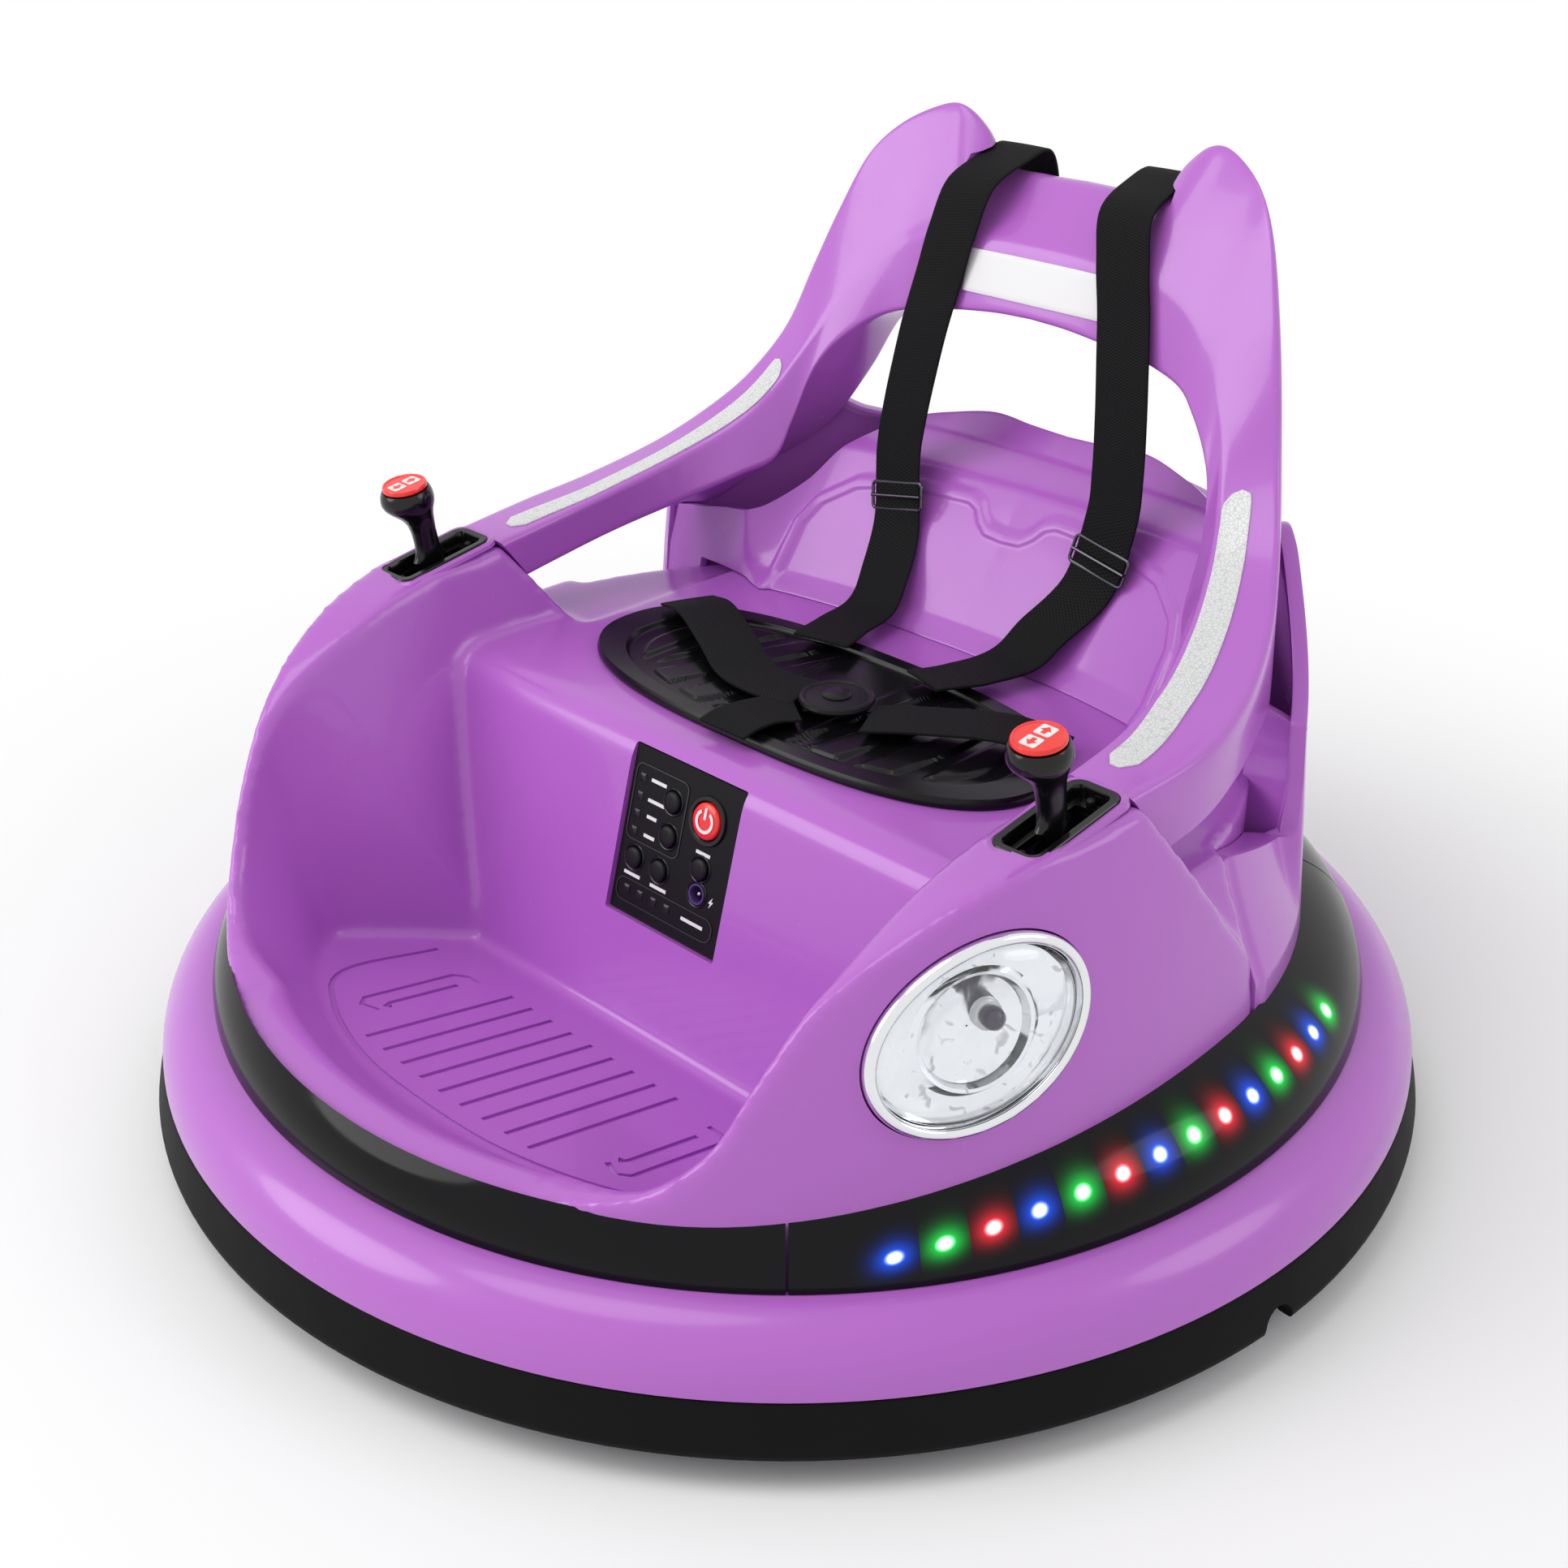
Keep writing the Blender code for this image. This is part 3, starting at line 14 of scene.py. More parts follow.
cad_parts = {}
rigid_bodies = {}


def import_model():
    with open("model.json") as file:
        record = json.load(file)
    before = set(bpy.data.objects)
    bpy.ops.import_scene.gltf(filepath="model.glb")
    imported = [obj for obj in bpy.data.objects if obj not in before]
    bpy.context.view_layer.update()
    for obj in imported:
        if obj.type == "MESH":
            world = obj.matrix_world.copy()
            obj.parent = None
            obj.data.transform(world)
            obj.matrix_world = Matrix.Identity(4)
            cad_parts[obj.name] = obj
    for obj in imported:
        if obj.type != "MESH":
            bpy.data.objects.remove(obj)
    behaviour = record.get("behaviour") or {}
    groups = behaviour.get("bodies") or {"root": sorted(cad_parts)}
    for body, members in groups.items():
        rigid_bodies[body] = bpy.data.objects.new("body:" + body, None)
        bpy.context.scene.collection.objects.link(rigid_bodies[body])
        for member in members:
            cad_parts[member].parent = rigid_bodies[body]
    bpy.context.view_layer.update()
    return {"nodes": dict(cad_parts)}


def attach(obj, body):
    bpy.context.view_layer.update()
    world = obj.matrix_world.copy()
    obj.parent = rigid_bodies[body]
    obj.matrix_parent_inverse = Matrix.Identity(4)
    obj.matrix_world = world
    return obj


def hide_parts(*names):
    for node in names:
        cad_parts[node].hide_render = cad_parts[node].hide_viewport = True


for leftover in list(bpy.data.objects):
    bpy.data.objects.remove(leftover, do_unlink=True)
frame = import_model()

# Sizes shared with the solids
GROUND = 0.018
BUMPER_R = 0.375
RUBBER_H = 0.031
RING_TOP_R = 0.337
RING_TOP_H = 0.067
BAND_MID_R = 0.27
BAND_DEPTH = 0.067
BAND_H = 0.05
WALL = 0.004
GAP = 0.0005
SIDE_R = 0.297
NOSE_BULGE = 0.029
REAR_R = 0.298
REAR_INSET = 0.262
FLOOR_H = 0.058
FLOOR_Y = -0.204
FLOOR_SLOPE = 0.2035
LIP_H = 0.093
SEAT_H = 0.2036
SEAT_FRONT_Y = -0.0759
SEAT_LEAN = 0.275
SEAT_EDGE = 0.016
FENDER_H = 0.2505
ARM_H = 0.258
FENDER_END_Y = -0.03
FENDER_END_SLOPE = 0.723
FENDER_IN_X = 0.19
SHELF_X = 0.2655
SIDE_LOW_H = 0.128
SIDE_FLARE = 0.0265
SHELF_DROP = 0.006
SPLIT_ANGLE = 102
BODY_FOOT = 0.03
HOOP_R = 0.265
STRIPE_AT = 0.28
BACK_TOP_H = 0.316
BACK_FOOT_Y = 0.135
WEB_W = 0.036
WEB_T = 0.0018
LIGHT_ANGLE = 62.4
LIGHT_H = 0.178
LIGHT_TILT = 18
LIGHT_HALF = (0.0615, 0.046)
TRAY_PLACE = (0.244, -0.064)
TRAY_TILT = 9.3
PANEL_HALF_H = 0.049
PANEL_BELOW = 0.004
BUCKLE_PLACE = (0.022, 0.018)
PAD_HALF = (0.168, 0.0705)
LABEL_HALF = (0.0525, 0.0125)
STRIPE_W = 0.017
STRAP_X = 0.055

# Sizes of the looks alone
NOTCH_ANGLE = 86
BAND_T = 0.003
LENS_INSET = 0.0068
GROOVE_W = 0.0034
GROOVE_DEPTH = 0.0017
WIRE_R = 0.0011
LAMP_ROW_R = 0.318
LAMP_H = 0.0978
LAMP_DROOP = 0.0145
LAMP_LEVEL_ANGLE = 88.0
SKY_LIGHT = 0.66
CAMERA_LENS = 48.99
CAMERA_PLACE = (0.7823, -0.7823, 0.7481)
CAMERA_TURN = (62.734, 0, 45.1)

QUARTER_X = Matrix.Rotation(math.pi / 2, 4, "X")
QUARTER_Y = Matrix.Rotation(math.pi / 2, 4, "Y")

# By the angle from the front: the fender's share of its rise, its thickness, the footwell's share of radius
FENDER_RISE = (
    (22, 0), (32, 0.08), (36, 0.17), (39, 0.28), (42.5, 0.49), (47, 0.69), (54, 0.845), (62, 0.945), (70, 1),
)
FENDER_T = (
    (24, 0.022), (33, 0.006), (40, 0.004), (45, 0.006), (50, 0.0135), (58, 0.03), (68, 0.041), (90, 0.05),
)
WELL_FLOOR = ((30, 0.94), (44, 0.93), (48, 0.781), (53, 0.606), (75, 0.539))


# Curves and places


def smooth_step(low, high, value):
    t = min(max((value - low) / (high - low), 0), 1)
    return t * t * (3 - 2 * t)


def slope_between(knots, k):
    k = min(max(k, 0), len(knots) - 2)
    return (knots[k + 1][1] - knots[k][1]) / (knots[k + 1][0] - knots[k][0])


def along(knots, value):
    """The height of a smooth curve through (place, height) knots, with no overshoot."""
    if value <= knots[0][0]:
        return knots[0][1]
    if value >= knots[-1][0]:
        return knots[-1][1]
    i = max(k for k in range(len(knots) - 1) if knots[k][0] <= value)
    slopes = []
    for k in (i, i + 1):
        before, after = slope_between(knots, k - 1), slope_between(knots, k)
        slopes.append(0 if before * after <= 0 else 2 * before * after / (before + after))
    (x0, y0), (x1, y1) = knots[i], knots[i + 1]
    span = x1 - x0
    t = (value - x0) / span
    rise = (2 * t**3 - 3 * t**2 + 1) * y0 + (3 * t**2 - 2 * t**3) * y1
    return rise + span * ((t**3 - 2 * t**2 + t) * slopes[0] + (t**3 - t**2) * slopes[1])


def spline(points, steps):
    """Points on a smooth curve through the given points."""
    ends = [points[0] * 2 - points[1], *points, points[-1] * 2 - points[-2]]
    found = []
    for a, b, c, d in zip(ends, ends[1:], ends[2:], ends[3:]):
        for k in range(steps):
            t = k / steps
            bend = (2 * a - 5 * b + 4 * c - d) * t**2 + (3 * b - a - 3 * c + d) * t**3
            found.append(0.5 * (2 * b + (c - a) * t + bend))
    return [*found, points[-1].copy()]


def place(angle, radius, z):
    turn = math.radians(angle)
    return Vector((radius * math.sin(turn), -radius * math.cos(turn), z))


def up(height):
    return GROUND + height


def side_name(name, side):
    return name + ("_right" if side > 0 else "_left")


def fender_height(angle):
    rise = LIP_H + along(FENDER_RISE, abs(angle)) * (FENDER_H - LIP_H)
    return rise + (ARM_H - FENDER_H) * smooth_step(70, 97, abs(angle))


def skin_radius(angle, height):
    foot = SIDE_R + NOSE_BULGE * (1 - smooth_step(33, 95, abs(angle)))
    return foot * (1 - 1.868 * max(height - 0.09, 0) ** 1.65)


def rim_radius(angle):
    return skin_radius(angle, fender_height(angle)) - along(FENDER_T, abs(angle))


def floor_height(y):
    return FLOOR_H - FLOOR_SLOPE * (y - FLOOR_Y)


# Building shapes


def sheet_of(columns, rows, shape, around=False):
    """A grid bent into shape: shape(u, v) gives each point, and around joins the two ends of u."""
    bm = bmesh.new()
    bm.loops.layers.uv.new("surface")
    bmesh.ops.create_grid(bm, x_segments=columns, y_segments=rows, size=0.5, calc_uvs=True)
    for vert in bm.verts:
        vert.co = shape(vert.co.x + 0.5, vert.co.y + 0.5)
    if around:
        bmesh.ops.remove_doubles(bm, verts=bm.verts, dist=1e-6)
    return bm


def close_ends(bm):
    bmesh.ops.holes_fill(bm, edges=[edge for edge in bm.edges if edge.is_boundary])
    return bm


def stack_of(columns, rings, ring_at):
    """A closed solid through rings: ring_at(ring, u) gives a ring's point at a turn u from 0 to 1."""
    last = len(rings) - 1

    def shape(u, v):
        return ring_at(rings[round(v * last)], u)

    return close_ends(sheet_of(columns, last, shape, around=True))


def loft(rings):
    """A closed solid through rings that each hold the same count of points."""
    count = len(rings[0])
    return stack_of(count, rings, lambda ring, u: ring[round(u * count) % count])


def oval_at(a, b, z, u):
    return Vector((a * math.cos(math.tau * u), b * math.sin(math.tau * u), z))


def oval_stack(levels, columns):
    """A closed solid through ovals of (long half, short half, height)."""
    return stack_of(columns, levels, lambda level, u: oval_at(*level, u))


def round_stack(levels, columns):
    """A closed solid through circles of (radius, height)."""
    return oval_stack([(r, r, z) for r, z in levels], columns)


def round_bar(radius, low, high, columns):
    return round_stack([(radius, low), (radius, high)], columns)


def rounded_rect(half_x, half_y, corner, u):
    """A point at turn u on a rectangle with round corners."""
    quarter = int(u * 4) % 4
    t = (u * 4 - int(u * 4)) * math.pi / 2
    middle_x = (half_x - corner) * (1, -1, -1, 1)[quarter]
    middle_y = (half_y - corner) * (1, 1, -1, -1)[quarter]
    turn = t + quarter * math.pi / 2
    return middle_x + corner * math.cos(turn), middle_y + corner * math.sin(turn)


def rect_stack(levels, columns=48):
    """A closed solid through rounded rectangles of (half x, half y, corner, height)."""

    def ring_at(level, u):
        half_x, half_y, corner, z = level
        return Vector((*rounded_rect(half_x, half_y, corner, u), z))

    return stack_of(columns, levels, ring_at)


def rect_bar(half_x, half_y, corner, low, high, columns=48):
    return rect_stack([(half_x, half_y, corner, z) for z in (low, high)], columns)


def turned(profile, steps, first=0, sweep=360):
    """A profile of (radius, height) spun round the Z axis, closed if the sweep isn't a full turn."""
    bm = bmesh.new()
    points = [bm.verts.new(place(first, r, z)) for r, z in profile]
    face = bm.faces.new(points)
    geom = [face, *face.edges, *points]
    full = sweep == 360
    if full:
        bmesh.ops.delete(bm, geom=[face], context="FACES_ONLY")
        geom = [*bm.edges, *bm.verts]
    bmesh.ops.spin(
        bm, geom=geom, cent=(0, 0, 0), axis=(0, 0, 1), angle=math.radians(sweep), steps=steps, use_merge=full
    )
    return bm


def bend(start, corner, end, steps):
    """Points on a short curve from start to end that leans to the corner."""
    shares = [k / steps for k in range(steps + 1)]
    return [tuple(start * (1 - t) ** 2 + corner * 2 * t * (1 - t) + end * t**2) for t in shares]


def rounded(profile, radius, steps=4):
    """A closed profile with each corner replaced by a short curve, of one radius or one for each corner."""
    found = []
    count = len(profile)
    radii = radius if isinstance(radius, tuple) else (radius,) * count
    for k in range(count):
        before, corner, after = (Vector(profile[(k + j) % count]) for j in (-1, 0, 1))
        reach = min(radii[k], (before - corner).length * 0.42, (after - corner).length * 0.42)
        start = corner + (before - corner).normalized() * reach
        end = corner + (after - corner).normalized() * reach
        found += bend(start, corner, end, steps)
    return found


def prism(outline, way):
    """A flat outline of points pushed along one way."""
    bm = bmesh.new()
    face = bm.faces.new([bm.verts.new(point) for point in outline])
    pushed = bmesh.ops.extrude_face_region(bm, geom=[face])
    far_end = [part for part in pushed["geom"] if isinstance(part, bmesh.types.BMVert)]
    bmesh.ops.translate(bm, vec=way, verts=far_end)
    return bm


def moved(bm, matrix):
    bmesh.ops.transform(bm, matrix=matrix, verts=bm.verts)
    return bm


def joined(*shapes):
    """One bmesh holding several separate closed bodies."""
    whole = shapes[0]
    for shape in shapes[1:]:
        scrap = bpy.data.meshes.new("scrap")
        shape.to_mesh(scrap)
        shape.free()
        whole.from_mesh(scrap)
        bpy.data.meshes.remove(scrap)
    return whole


def raw_object(name, bm):
    bmesh.ops.remove_doubles(bm, verts=bm.verts, dist=1e-6)
    bmesh.ops.recalc_face_normals(bm, faces=bm.faces)
    mesh = bpy.data.meshes.new(name)
    bm.to_mesh(mesh)
    bm.free()
    obj = bpy.data.objects.new(name, mesh)
    bpy.context.scene.collection.objects.link(obj)
    return obj


def dress(solid, obj, finish, slot, body="car", sharp=35):
    """Gives a piece its finish and the body it rides on, and hides the solid that it stands for; slot is not
    used.
    """
    obj.data.materials.clear()
    obj.data.materials.append(finish)
    obj.data.shade_smooth()
    obj.data.set_sharp_from_angle(angle=math.radians(sharp))
    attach(obj, body)
    if solid:
        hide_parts(solid)
    return obj


def shown(name, bm, finish, slot, body="car", sharp=35):
    """A finished piece in place of the solid of the same name."""
    return dress(name, raw_object(name, bm), finish, slot, body, sharp)


def added(name, bm, finish, slot, body="car"):
    """A finished piece that has no solid of its own."""
    return dress(None, raw_object(name, bm), finish, slot, body)


def settle(obj):
    """The object's mesh as its modifiers leave it."""
    graph = bpy.context.evaluated_depsgraph_get()
    mesh = bpy.data.meshes.new_from_object(obj.evaluated_get(graph))
    old = obj.data
    obj.modifiers.clear()
    obj.data = mesh
    bpy.data.meshes.remove(old)
    return obj


def carve_with(obj, tool, solver="MANIFOLD"):
    """Cuts the shape of a helper object away, and removes the helper."""
    cut = obj.modifiers.new("cut", "BOOLEAN")
    cut.operation = "DIFFERENCE"
    cut.solver = solver
    cut.object = tool
    settle(obj)
    bpy.data.objects.remove(tool, do_unlink=True)


def carve(obj, tool_shape, solver="MANIFOLD"):
    carve_with(obj, raw_object("tool", tool_shape), solver)


def melt(obj, voxel, passes):
    """Evens out the mesh and rounds its edges, as a moulding's edges are round."""
    remesh = obj.modifiers.new("even", "REMESH")
    remesh.mode = "VOXEL"
    remesh.voxel_size = voxel
    soften = obj.modifiers.new("soften", "SMOOTH")
    soften.factor = 0.5
    soften.iterations = passes
    return settle(obj)


def thicken(obj, thickness, offset, round_width):
    """Gives a sheet its wall, with round edges."""
    wall = obj.modifiers.new("wall", "SOLIDIFY")
    wall.thickness = thickness
    wall.offset = offset
    bevel = obj.modifiers.new("round", "BEVEL")
    bevel.width = round_width
    bevel.segments = 2
    bevel.limit_method = "ANGLE"
    bevel.angle_limit = math.radians(50)
    return settle(obj)


def surface_of(obj):
    bm = bmesh.new()
    bm.from_mesh(obj.data)
    tree = BVHTree.FromBMesh(bm)
    bm.free()
    return tree


# Finishes


def feed(tree, sockets, sources):
    for key, source in sources.items():
        tree.links.new(source, sockets[key])


def wire(tree, kind, inputs=None, **settings):
    """A node with its settings, and its inputs linked or set by name or place."""
    made = tree.nodes.new(kind)
    for key, value in settings.items():
        setattr(made, key, value)
    for key, value in (inputs or {}).items():
        if isinstance(value, bpy.types.NodeSocket):
            tree.links.new(value, made.inputs[key])
        else:
            made.inputs[key].default_value = value
    return made


def calculator(tree):
    """A short way to add maths nodes to one tree."""

    def calc(operation, *values):
        return wire(tree, "ShaderNodeMath", dict(enumerate(values)), operation=operation).outputs[0]

    return calc


def object_place(tree):
    return wire(tree, "ShaderNodeTexCoord").outputs["Object"]


def noise(tree, where, scale, detail=2.0, output="Fac"):
    inputs = {"Vector": where, "Scale": scale, "Detail": detail}
    return wire(tree, "ShaderNodeTexNoise", inputs).outputs[output]


def scaled(tree, colour, share):
    return wire(tree, "ShaderNodeVectorMath", {0: colour, "Scale": share}, operation="SCALE").outputs[0]


def ramp(tree, value, low, high, to_low=0.0, to_high=1.0):
    node = wire(
        tree, "ShaderNodeMapRange",
        {"Value": value, "From Min": low, "From Max": high, "To Min": to_low, "To Max": to_high},
        interpolation_type="SMOOTHSTEP",
    )
    return node.outputs["Result"]


def mix_colour(tree, share, first, second, blend="MIX"):
    node = wire(tree, "ShaderNodeMix", {0: share, 6: first, 7: second}, data_type="RGBA", blend_type=blend)
    return node.outputs[2]


def effect(name, inputs, outputs):
    """An empty shader node group with named sockets: its tree, what it is given and what it gives."""
    group = bpy.data.node_groups.new(name, "ShaderNodeTree")
    for socket, value in inputs.items():
        kind = "NodeSocketColor" if isinstance(value, tuple) else "NodeSocketFloat"
        made = group.interface.new_socket(name=socket, in_out="INPUT", socket_type=kind)
        made.default_value = value
    for socket in outputs:
        kind = "NodeSocketColor" if socket in ("Colour", "Glow") else "NodeSocketFloat"
        group.interface.new_socket(name=socket, in_out="OUTPUT", socket_type=kind)
    return group, group.nodes.new("NodeGroupInput").outputs, group.nodes.new("NodeGroupOutput").inputs


def moulded_skin_effect():
    """Injection moulded plastic: faint cloudy colour, uneven polish, fine grain and a low ripple."""
    tree, given, gives = effect(
        "moulded_skin",
        {"Colour": (0.4, 0.1, 0.6, 1), "Polish": 0.2, "Cloud": 0.06, "Grain": 0.1, "Grain Scale": 900.0},
        ("Colour", "Roughness", "Height"),
    )
    calc = calculator(tree)
    where = object_place(tree)
    cloud = noise(tree, where, 7.0, 3.0)
    smear = noise(tree, where, 42.0)
    grain = noise(tree, where, given["Grain Scale"])
    shade = calc("MULTIPLY_ADD", calc("SUBTRACT", cloud, 0.5), given["Cloud"], 1.0)
    uneven = ramp(tree, smear, 0.0, 1.0, -0.03, 0.05)
    low = calc("MULTIPLY", cloud, 0.25)
    feed(tree, gives, {
        "Colour": scaled(tree, given["Colour"], shade),
        "Roughness": calc("ADD", given["Polish"], uneven),
        "Height": calc("MULTIPLY_ADD", grain, given["Grain"], low),
    })
    return tree


def weave_effect():
    """Flat woven webbing from the strap's own surface map: ribs across, threads along, bound edges, with
    painted shade in the grooves and a painted sheen on the rib tops.
    """
    tree, given, gives = effect(
        "webbing_weave",
        {"Colour": (0.012, 0.012, 0.013, 1), "Ribs": 300.0, "Threads": 18.0},
        ("Colour", "Roughness", "Height"),
    )
    calc = calculator(tree)
    uv = wire(tree, "ShaderNodeUVMap", uv_map="surface").outputs[0]
    x, y, _ = wire(tree, "ShaderNodeSeparateXYZ", {0: uv}).outputs
    across = calc("MULTIPLY", x, calc("MULTIPLY", given["Threads"], math.tau))
    lengthways = calc("MULTIPLY", y, calc("MULTIPLY", given["Ribs"], math.tau))
    rib = calc("SINE", calc("ADD", lengthways, calc("MULTIPLY", across, 0.5)))
    knit = calc("MULTIPLY_ADD", calc("MULTIPLY", rib, calc("SINE", across)), 0.35, 0.5)
    ridge = calc("MULTIPLY_ADD", rib, 0.15, knit)
    edge = ramp(tree, calc("ABSOLUTE", calc("SUBTRACT", x, 0.5)), 0.4, 0.46)
    # The colour follows the weave's height: painted shade in the grooves, painted sheen on the ribs.
    feed(tree, gives, {
        "Colour": scaled(tree, given["Colour"], ramp(tree, ridge, 0.2, 0.9, 0.55, 1.7)),
        "Roughness": ramp(tree, ridge, 0.1, 0.9, 0.9, 0.62),
        "Height": calc("MULTIPLY_ADD", edge, 0.35, ridge),
    })
    return tree


def lamp_row_effect():
    """Coloured lamps glowing through the smoked band: a row on each side, blue, green and red in turn."""
    tree, given, gives = effect(
        "lamp_row",
        {"First Angle": 53.57, "Step": 4.225, "Count": 14.0, "Core": 0.0044, "Halo": 0.0066},
        ("Glow",),
    )
    calc = calculator(tree)
    x, y, z = wire(tree, "ShaderNodeSeparateXYZ", {0: object_place(tree)}).outputs
    angle = calc("DEGREES", calc("ARCTAN2", calc("ABSOLUTE", x), calc("MULTIPLY", y, -1.0)))
    step = calc("DIVIDE", calc("SUBTRACT", angle, given["First Angle"]), given["Step"])
    last = calc("SUBTRACT", given["Count"], 1.0)
    index = calc("MINIMUM", calc("MAXIMUM", calc("ROUND", step), 0.0), last)
    off_step = calc("MULTIPLY", calc("SUBTRACT", step, index), given["Step"])
    across = calc("MULTIPLY", calc("RADIANS", off_step), LAMP_ROW_R)
    ahead = calc("MAXIMUM", calc("SUBTRACT", LAMP_LEVEL_ANGLE, angle), 0.0)
    droop = calc("POWER", calc("DIVIDE", ahead, 34.5), 2.0)
    row_z = calc("MULTIPLY_ADD", droop, -LAMP_DROOP, GROUND + LAMP_H)
    above = calc("MULTIPLY", calc("SUBTRACT", z, row_z), 1.5)
    far = calc("SQRT", calc("ADD", calc("MULTIPLY", across, across), calc("MULTIPLY", above, above)))
    core = ramp(tree, calc("DIVIDE", far, given["Core"]), 0.35, 1.25, 1.0, 0.0)
    spread = calc("POWER", calc("DIVIDE", far, given["Halo"]), 1.6)
    halo = calc("POWER", 2.718, calc("MULTIPLY", spread, -1.0))
    third = calc("MODULO", index, 3.0)
    hue = mix_colour(tree, calc("COMPARE", third, 1.0, 0.1), (0.01, 0.1, 1.0, 1), (0.02, 0.85, 0.1, 1))
    hue = mix_colour(tree, calc("COMPARE", third, 2.0, 0.1), hue, (1.0, 0.03, 0.05, 1))
    pale = mix_colour(tree, calc("MULTIPLY", core, 0.45), hue, (1, 1, 1, 1))
    feed(tree, gives, {"Glow": scaled(tree, pale, calc("MULTIPLY_ADD", halo, 0.34, core))})
    return tree


MOULDED = moulded_skin_effect()
WEAVE = weave_effect()
LAMP_ROW = lamp_row_effect()


def new_finish(name, **settings):
    made = bpy.data.materials.new(name)
    made.use_nodes = True
    shader = made.node_tree.nodes["Principled BSDF"]
    for key, value in settings.items():
        shader.inputs[key.replace("_", " ").title().replace("Ior", "IOR")].default_value = value
    return made, made.node_tree, shader


def use_group(tree, group, **values):
    node = tree.nodes.new("ShaderNodeGroup")
    node.node_tree = group
    for key, value in values.items():
        node.inputs[key.replace("_", " ").title()].default_value = value
    return node.outputs


def raise_from(tree, shader, height, strength, distance):
    bump = wire(tree, "ShaderNodeBump", {"Height": height, "Strength": strength, "Distance": distance})
    feed(tree, shader.inputs, {"Normal": bump.outputs[0]})


def surfaced(tree, shader, source, bump=0.0, depth=0.0006):
    """Links an effect's colour, roughness and height to a shader."""
    feed(tree, shader.inputs, {"Base Color": source["Colour"], "Roughness": source["Roughness"]})
    if bump:
        raise_from(tree, shader, source["Height"], bump, depth)


def moulded(name, colour, polish, cloud, grain, grain_scale, bump, metallic=0.0, coat=0.0, shine=0.5):
    """A moulded plastic, rubber or metal finish with its own colour, polish and grain."""
    made, tree, shader = new_finish(
        name, metallic=metallic, coat_weight=coat, coat_roughness=0.06, specular_ior_level=shine
    )
    skin = use_group(
        tree, MOULDED, colour=(*colour, 1), polish=polish, cloud=cloud, grain=grain, grain_scale=grain_scale
    )
    surfaced(tree, shader, skin, bump)
    return made


def smoked_band_finish():
    made, tree, shader = new_finish("smoked_band", specular_ior_level=0.16, emission_strength=4.0)
    skin = use_group(tree, MOULDED, colour=(0.0035, 0.0035, 0.0045, 1), polish=0.1, cloud=0.3, grain=0.05)
    surfaced(tree, shader, skin, 0.06)
    feed(tree, shader.inputs, {"Emission Color": use_group(tree, LAMP_ROW)["Glow"]})
    return made


def webbing_finish(name, ribs):
    made, tree, shader = new_finish(name, specular_ior_level=0.12)
    woven = use_group(tree, WEAVE, colour=(0.0075, 0.0075, 0.008, 1), ribs=ribs)
    surfaced(tree, shader, woven, 0.6, 0.0005)
    return made


def bowl_finish():
    """Vacuum metallised reflector with painted reflections: light grey, with dark streaks and patches painted
    into its colour where its faces turn down, for reflected dark surroundings.
    """
    made, tree, shader = new_finish("reflector_bowl", metallic=1.0)
    calc = calculator(tree)
    where = object_place(tree)
    bent = mix_colour(tree, 0.03, where, noise(tree, where, 38.0, output="Color"), "ADD")
    streak = noise(tree, bent, 46.0, 1.5)
    fine = noise(tree, bent, 160.0, 1.0)
    faces = wire(tree, "ShaderNodeNewGeometry").outputs["Normal"]
    upward = wire(tree, "ShaderNodeSeparateXYZ", {0: faces}).outputs["Z"]
    upward = calc("MULTIPLY_ADD", calc("SUBTRACT", streak, 0.5), 1.4, upward)
    # Painted reflection: the colour goes dark where the faces turn down and in noisy patches.
    painted_reflection_share = calc("MULTIPLY", ramp(tree, upward, -0.4, -0.1), ramp(tree, fine, 0.24, 0.36, 0.6, 1.0))
    tone = mix_colour(tree, painted_reflection_share, (0.05, 0.05, 0.055, 1), (0.86, 0.87, 0.88, 1))
    feed(tree, shader.inputs, {"Base Color": tone, "Roughness": ramp(tree, fine, 0.3, 0.7, 0.05, 0.16)})
    raise_from(tree, shader, streak, 0.25, 0.004)
    return made


def clear_finish():
    made, tree, shader = new_finish("clear_lens", transmission_weight=1.0, ior=1.45)
    skin = use_group(tree, MOULDED, colour=(0.97, 0.98, 1.0, 1), polish=0.02, cloud=0.02, grain=0.0)
    surfaced(tree, shader, skin)
    return made


def reflective_finish():
    """Prismatic reflective sheet: a fine honeycomb under a satin film."""
    made, tree, shader = new_finish("reflective_sheet", coat_weight=0.4, coat_roughness=0.1)
    inputs = {"Vector": object_place(tree), "Scale": 420.0}
    cells = wire(tree, "ShaderNodeTexVoronoi", inputs, feature="DISTANCE_TO_EDGE").outputs["Distance"]
    line = ramp(tree, cells, 0.0, 0.12)
    tone = mix_colour(tree, line, (0.52, 0.53, 0.53, 1), (0.7, 0.71, 0.7, 1))
    feed(tree, shader.inputs, {"Base Color": tone, "Roughness": ramp(tree, line, 0, 1, 0.55, 0.32)})
    raise_from(tree, shader, line, 0.15, 0.0003)
    return made


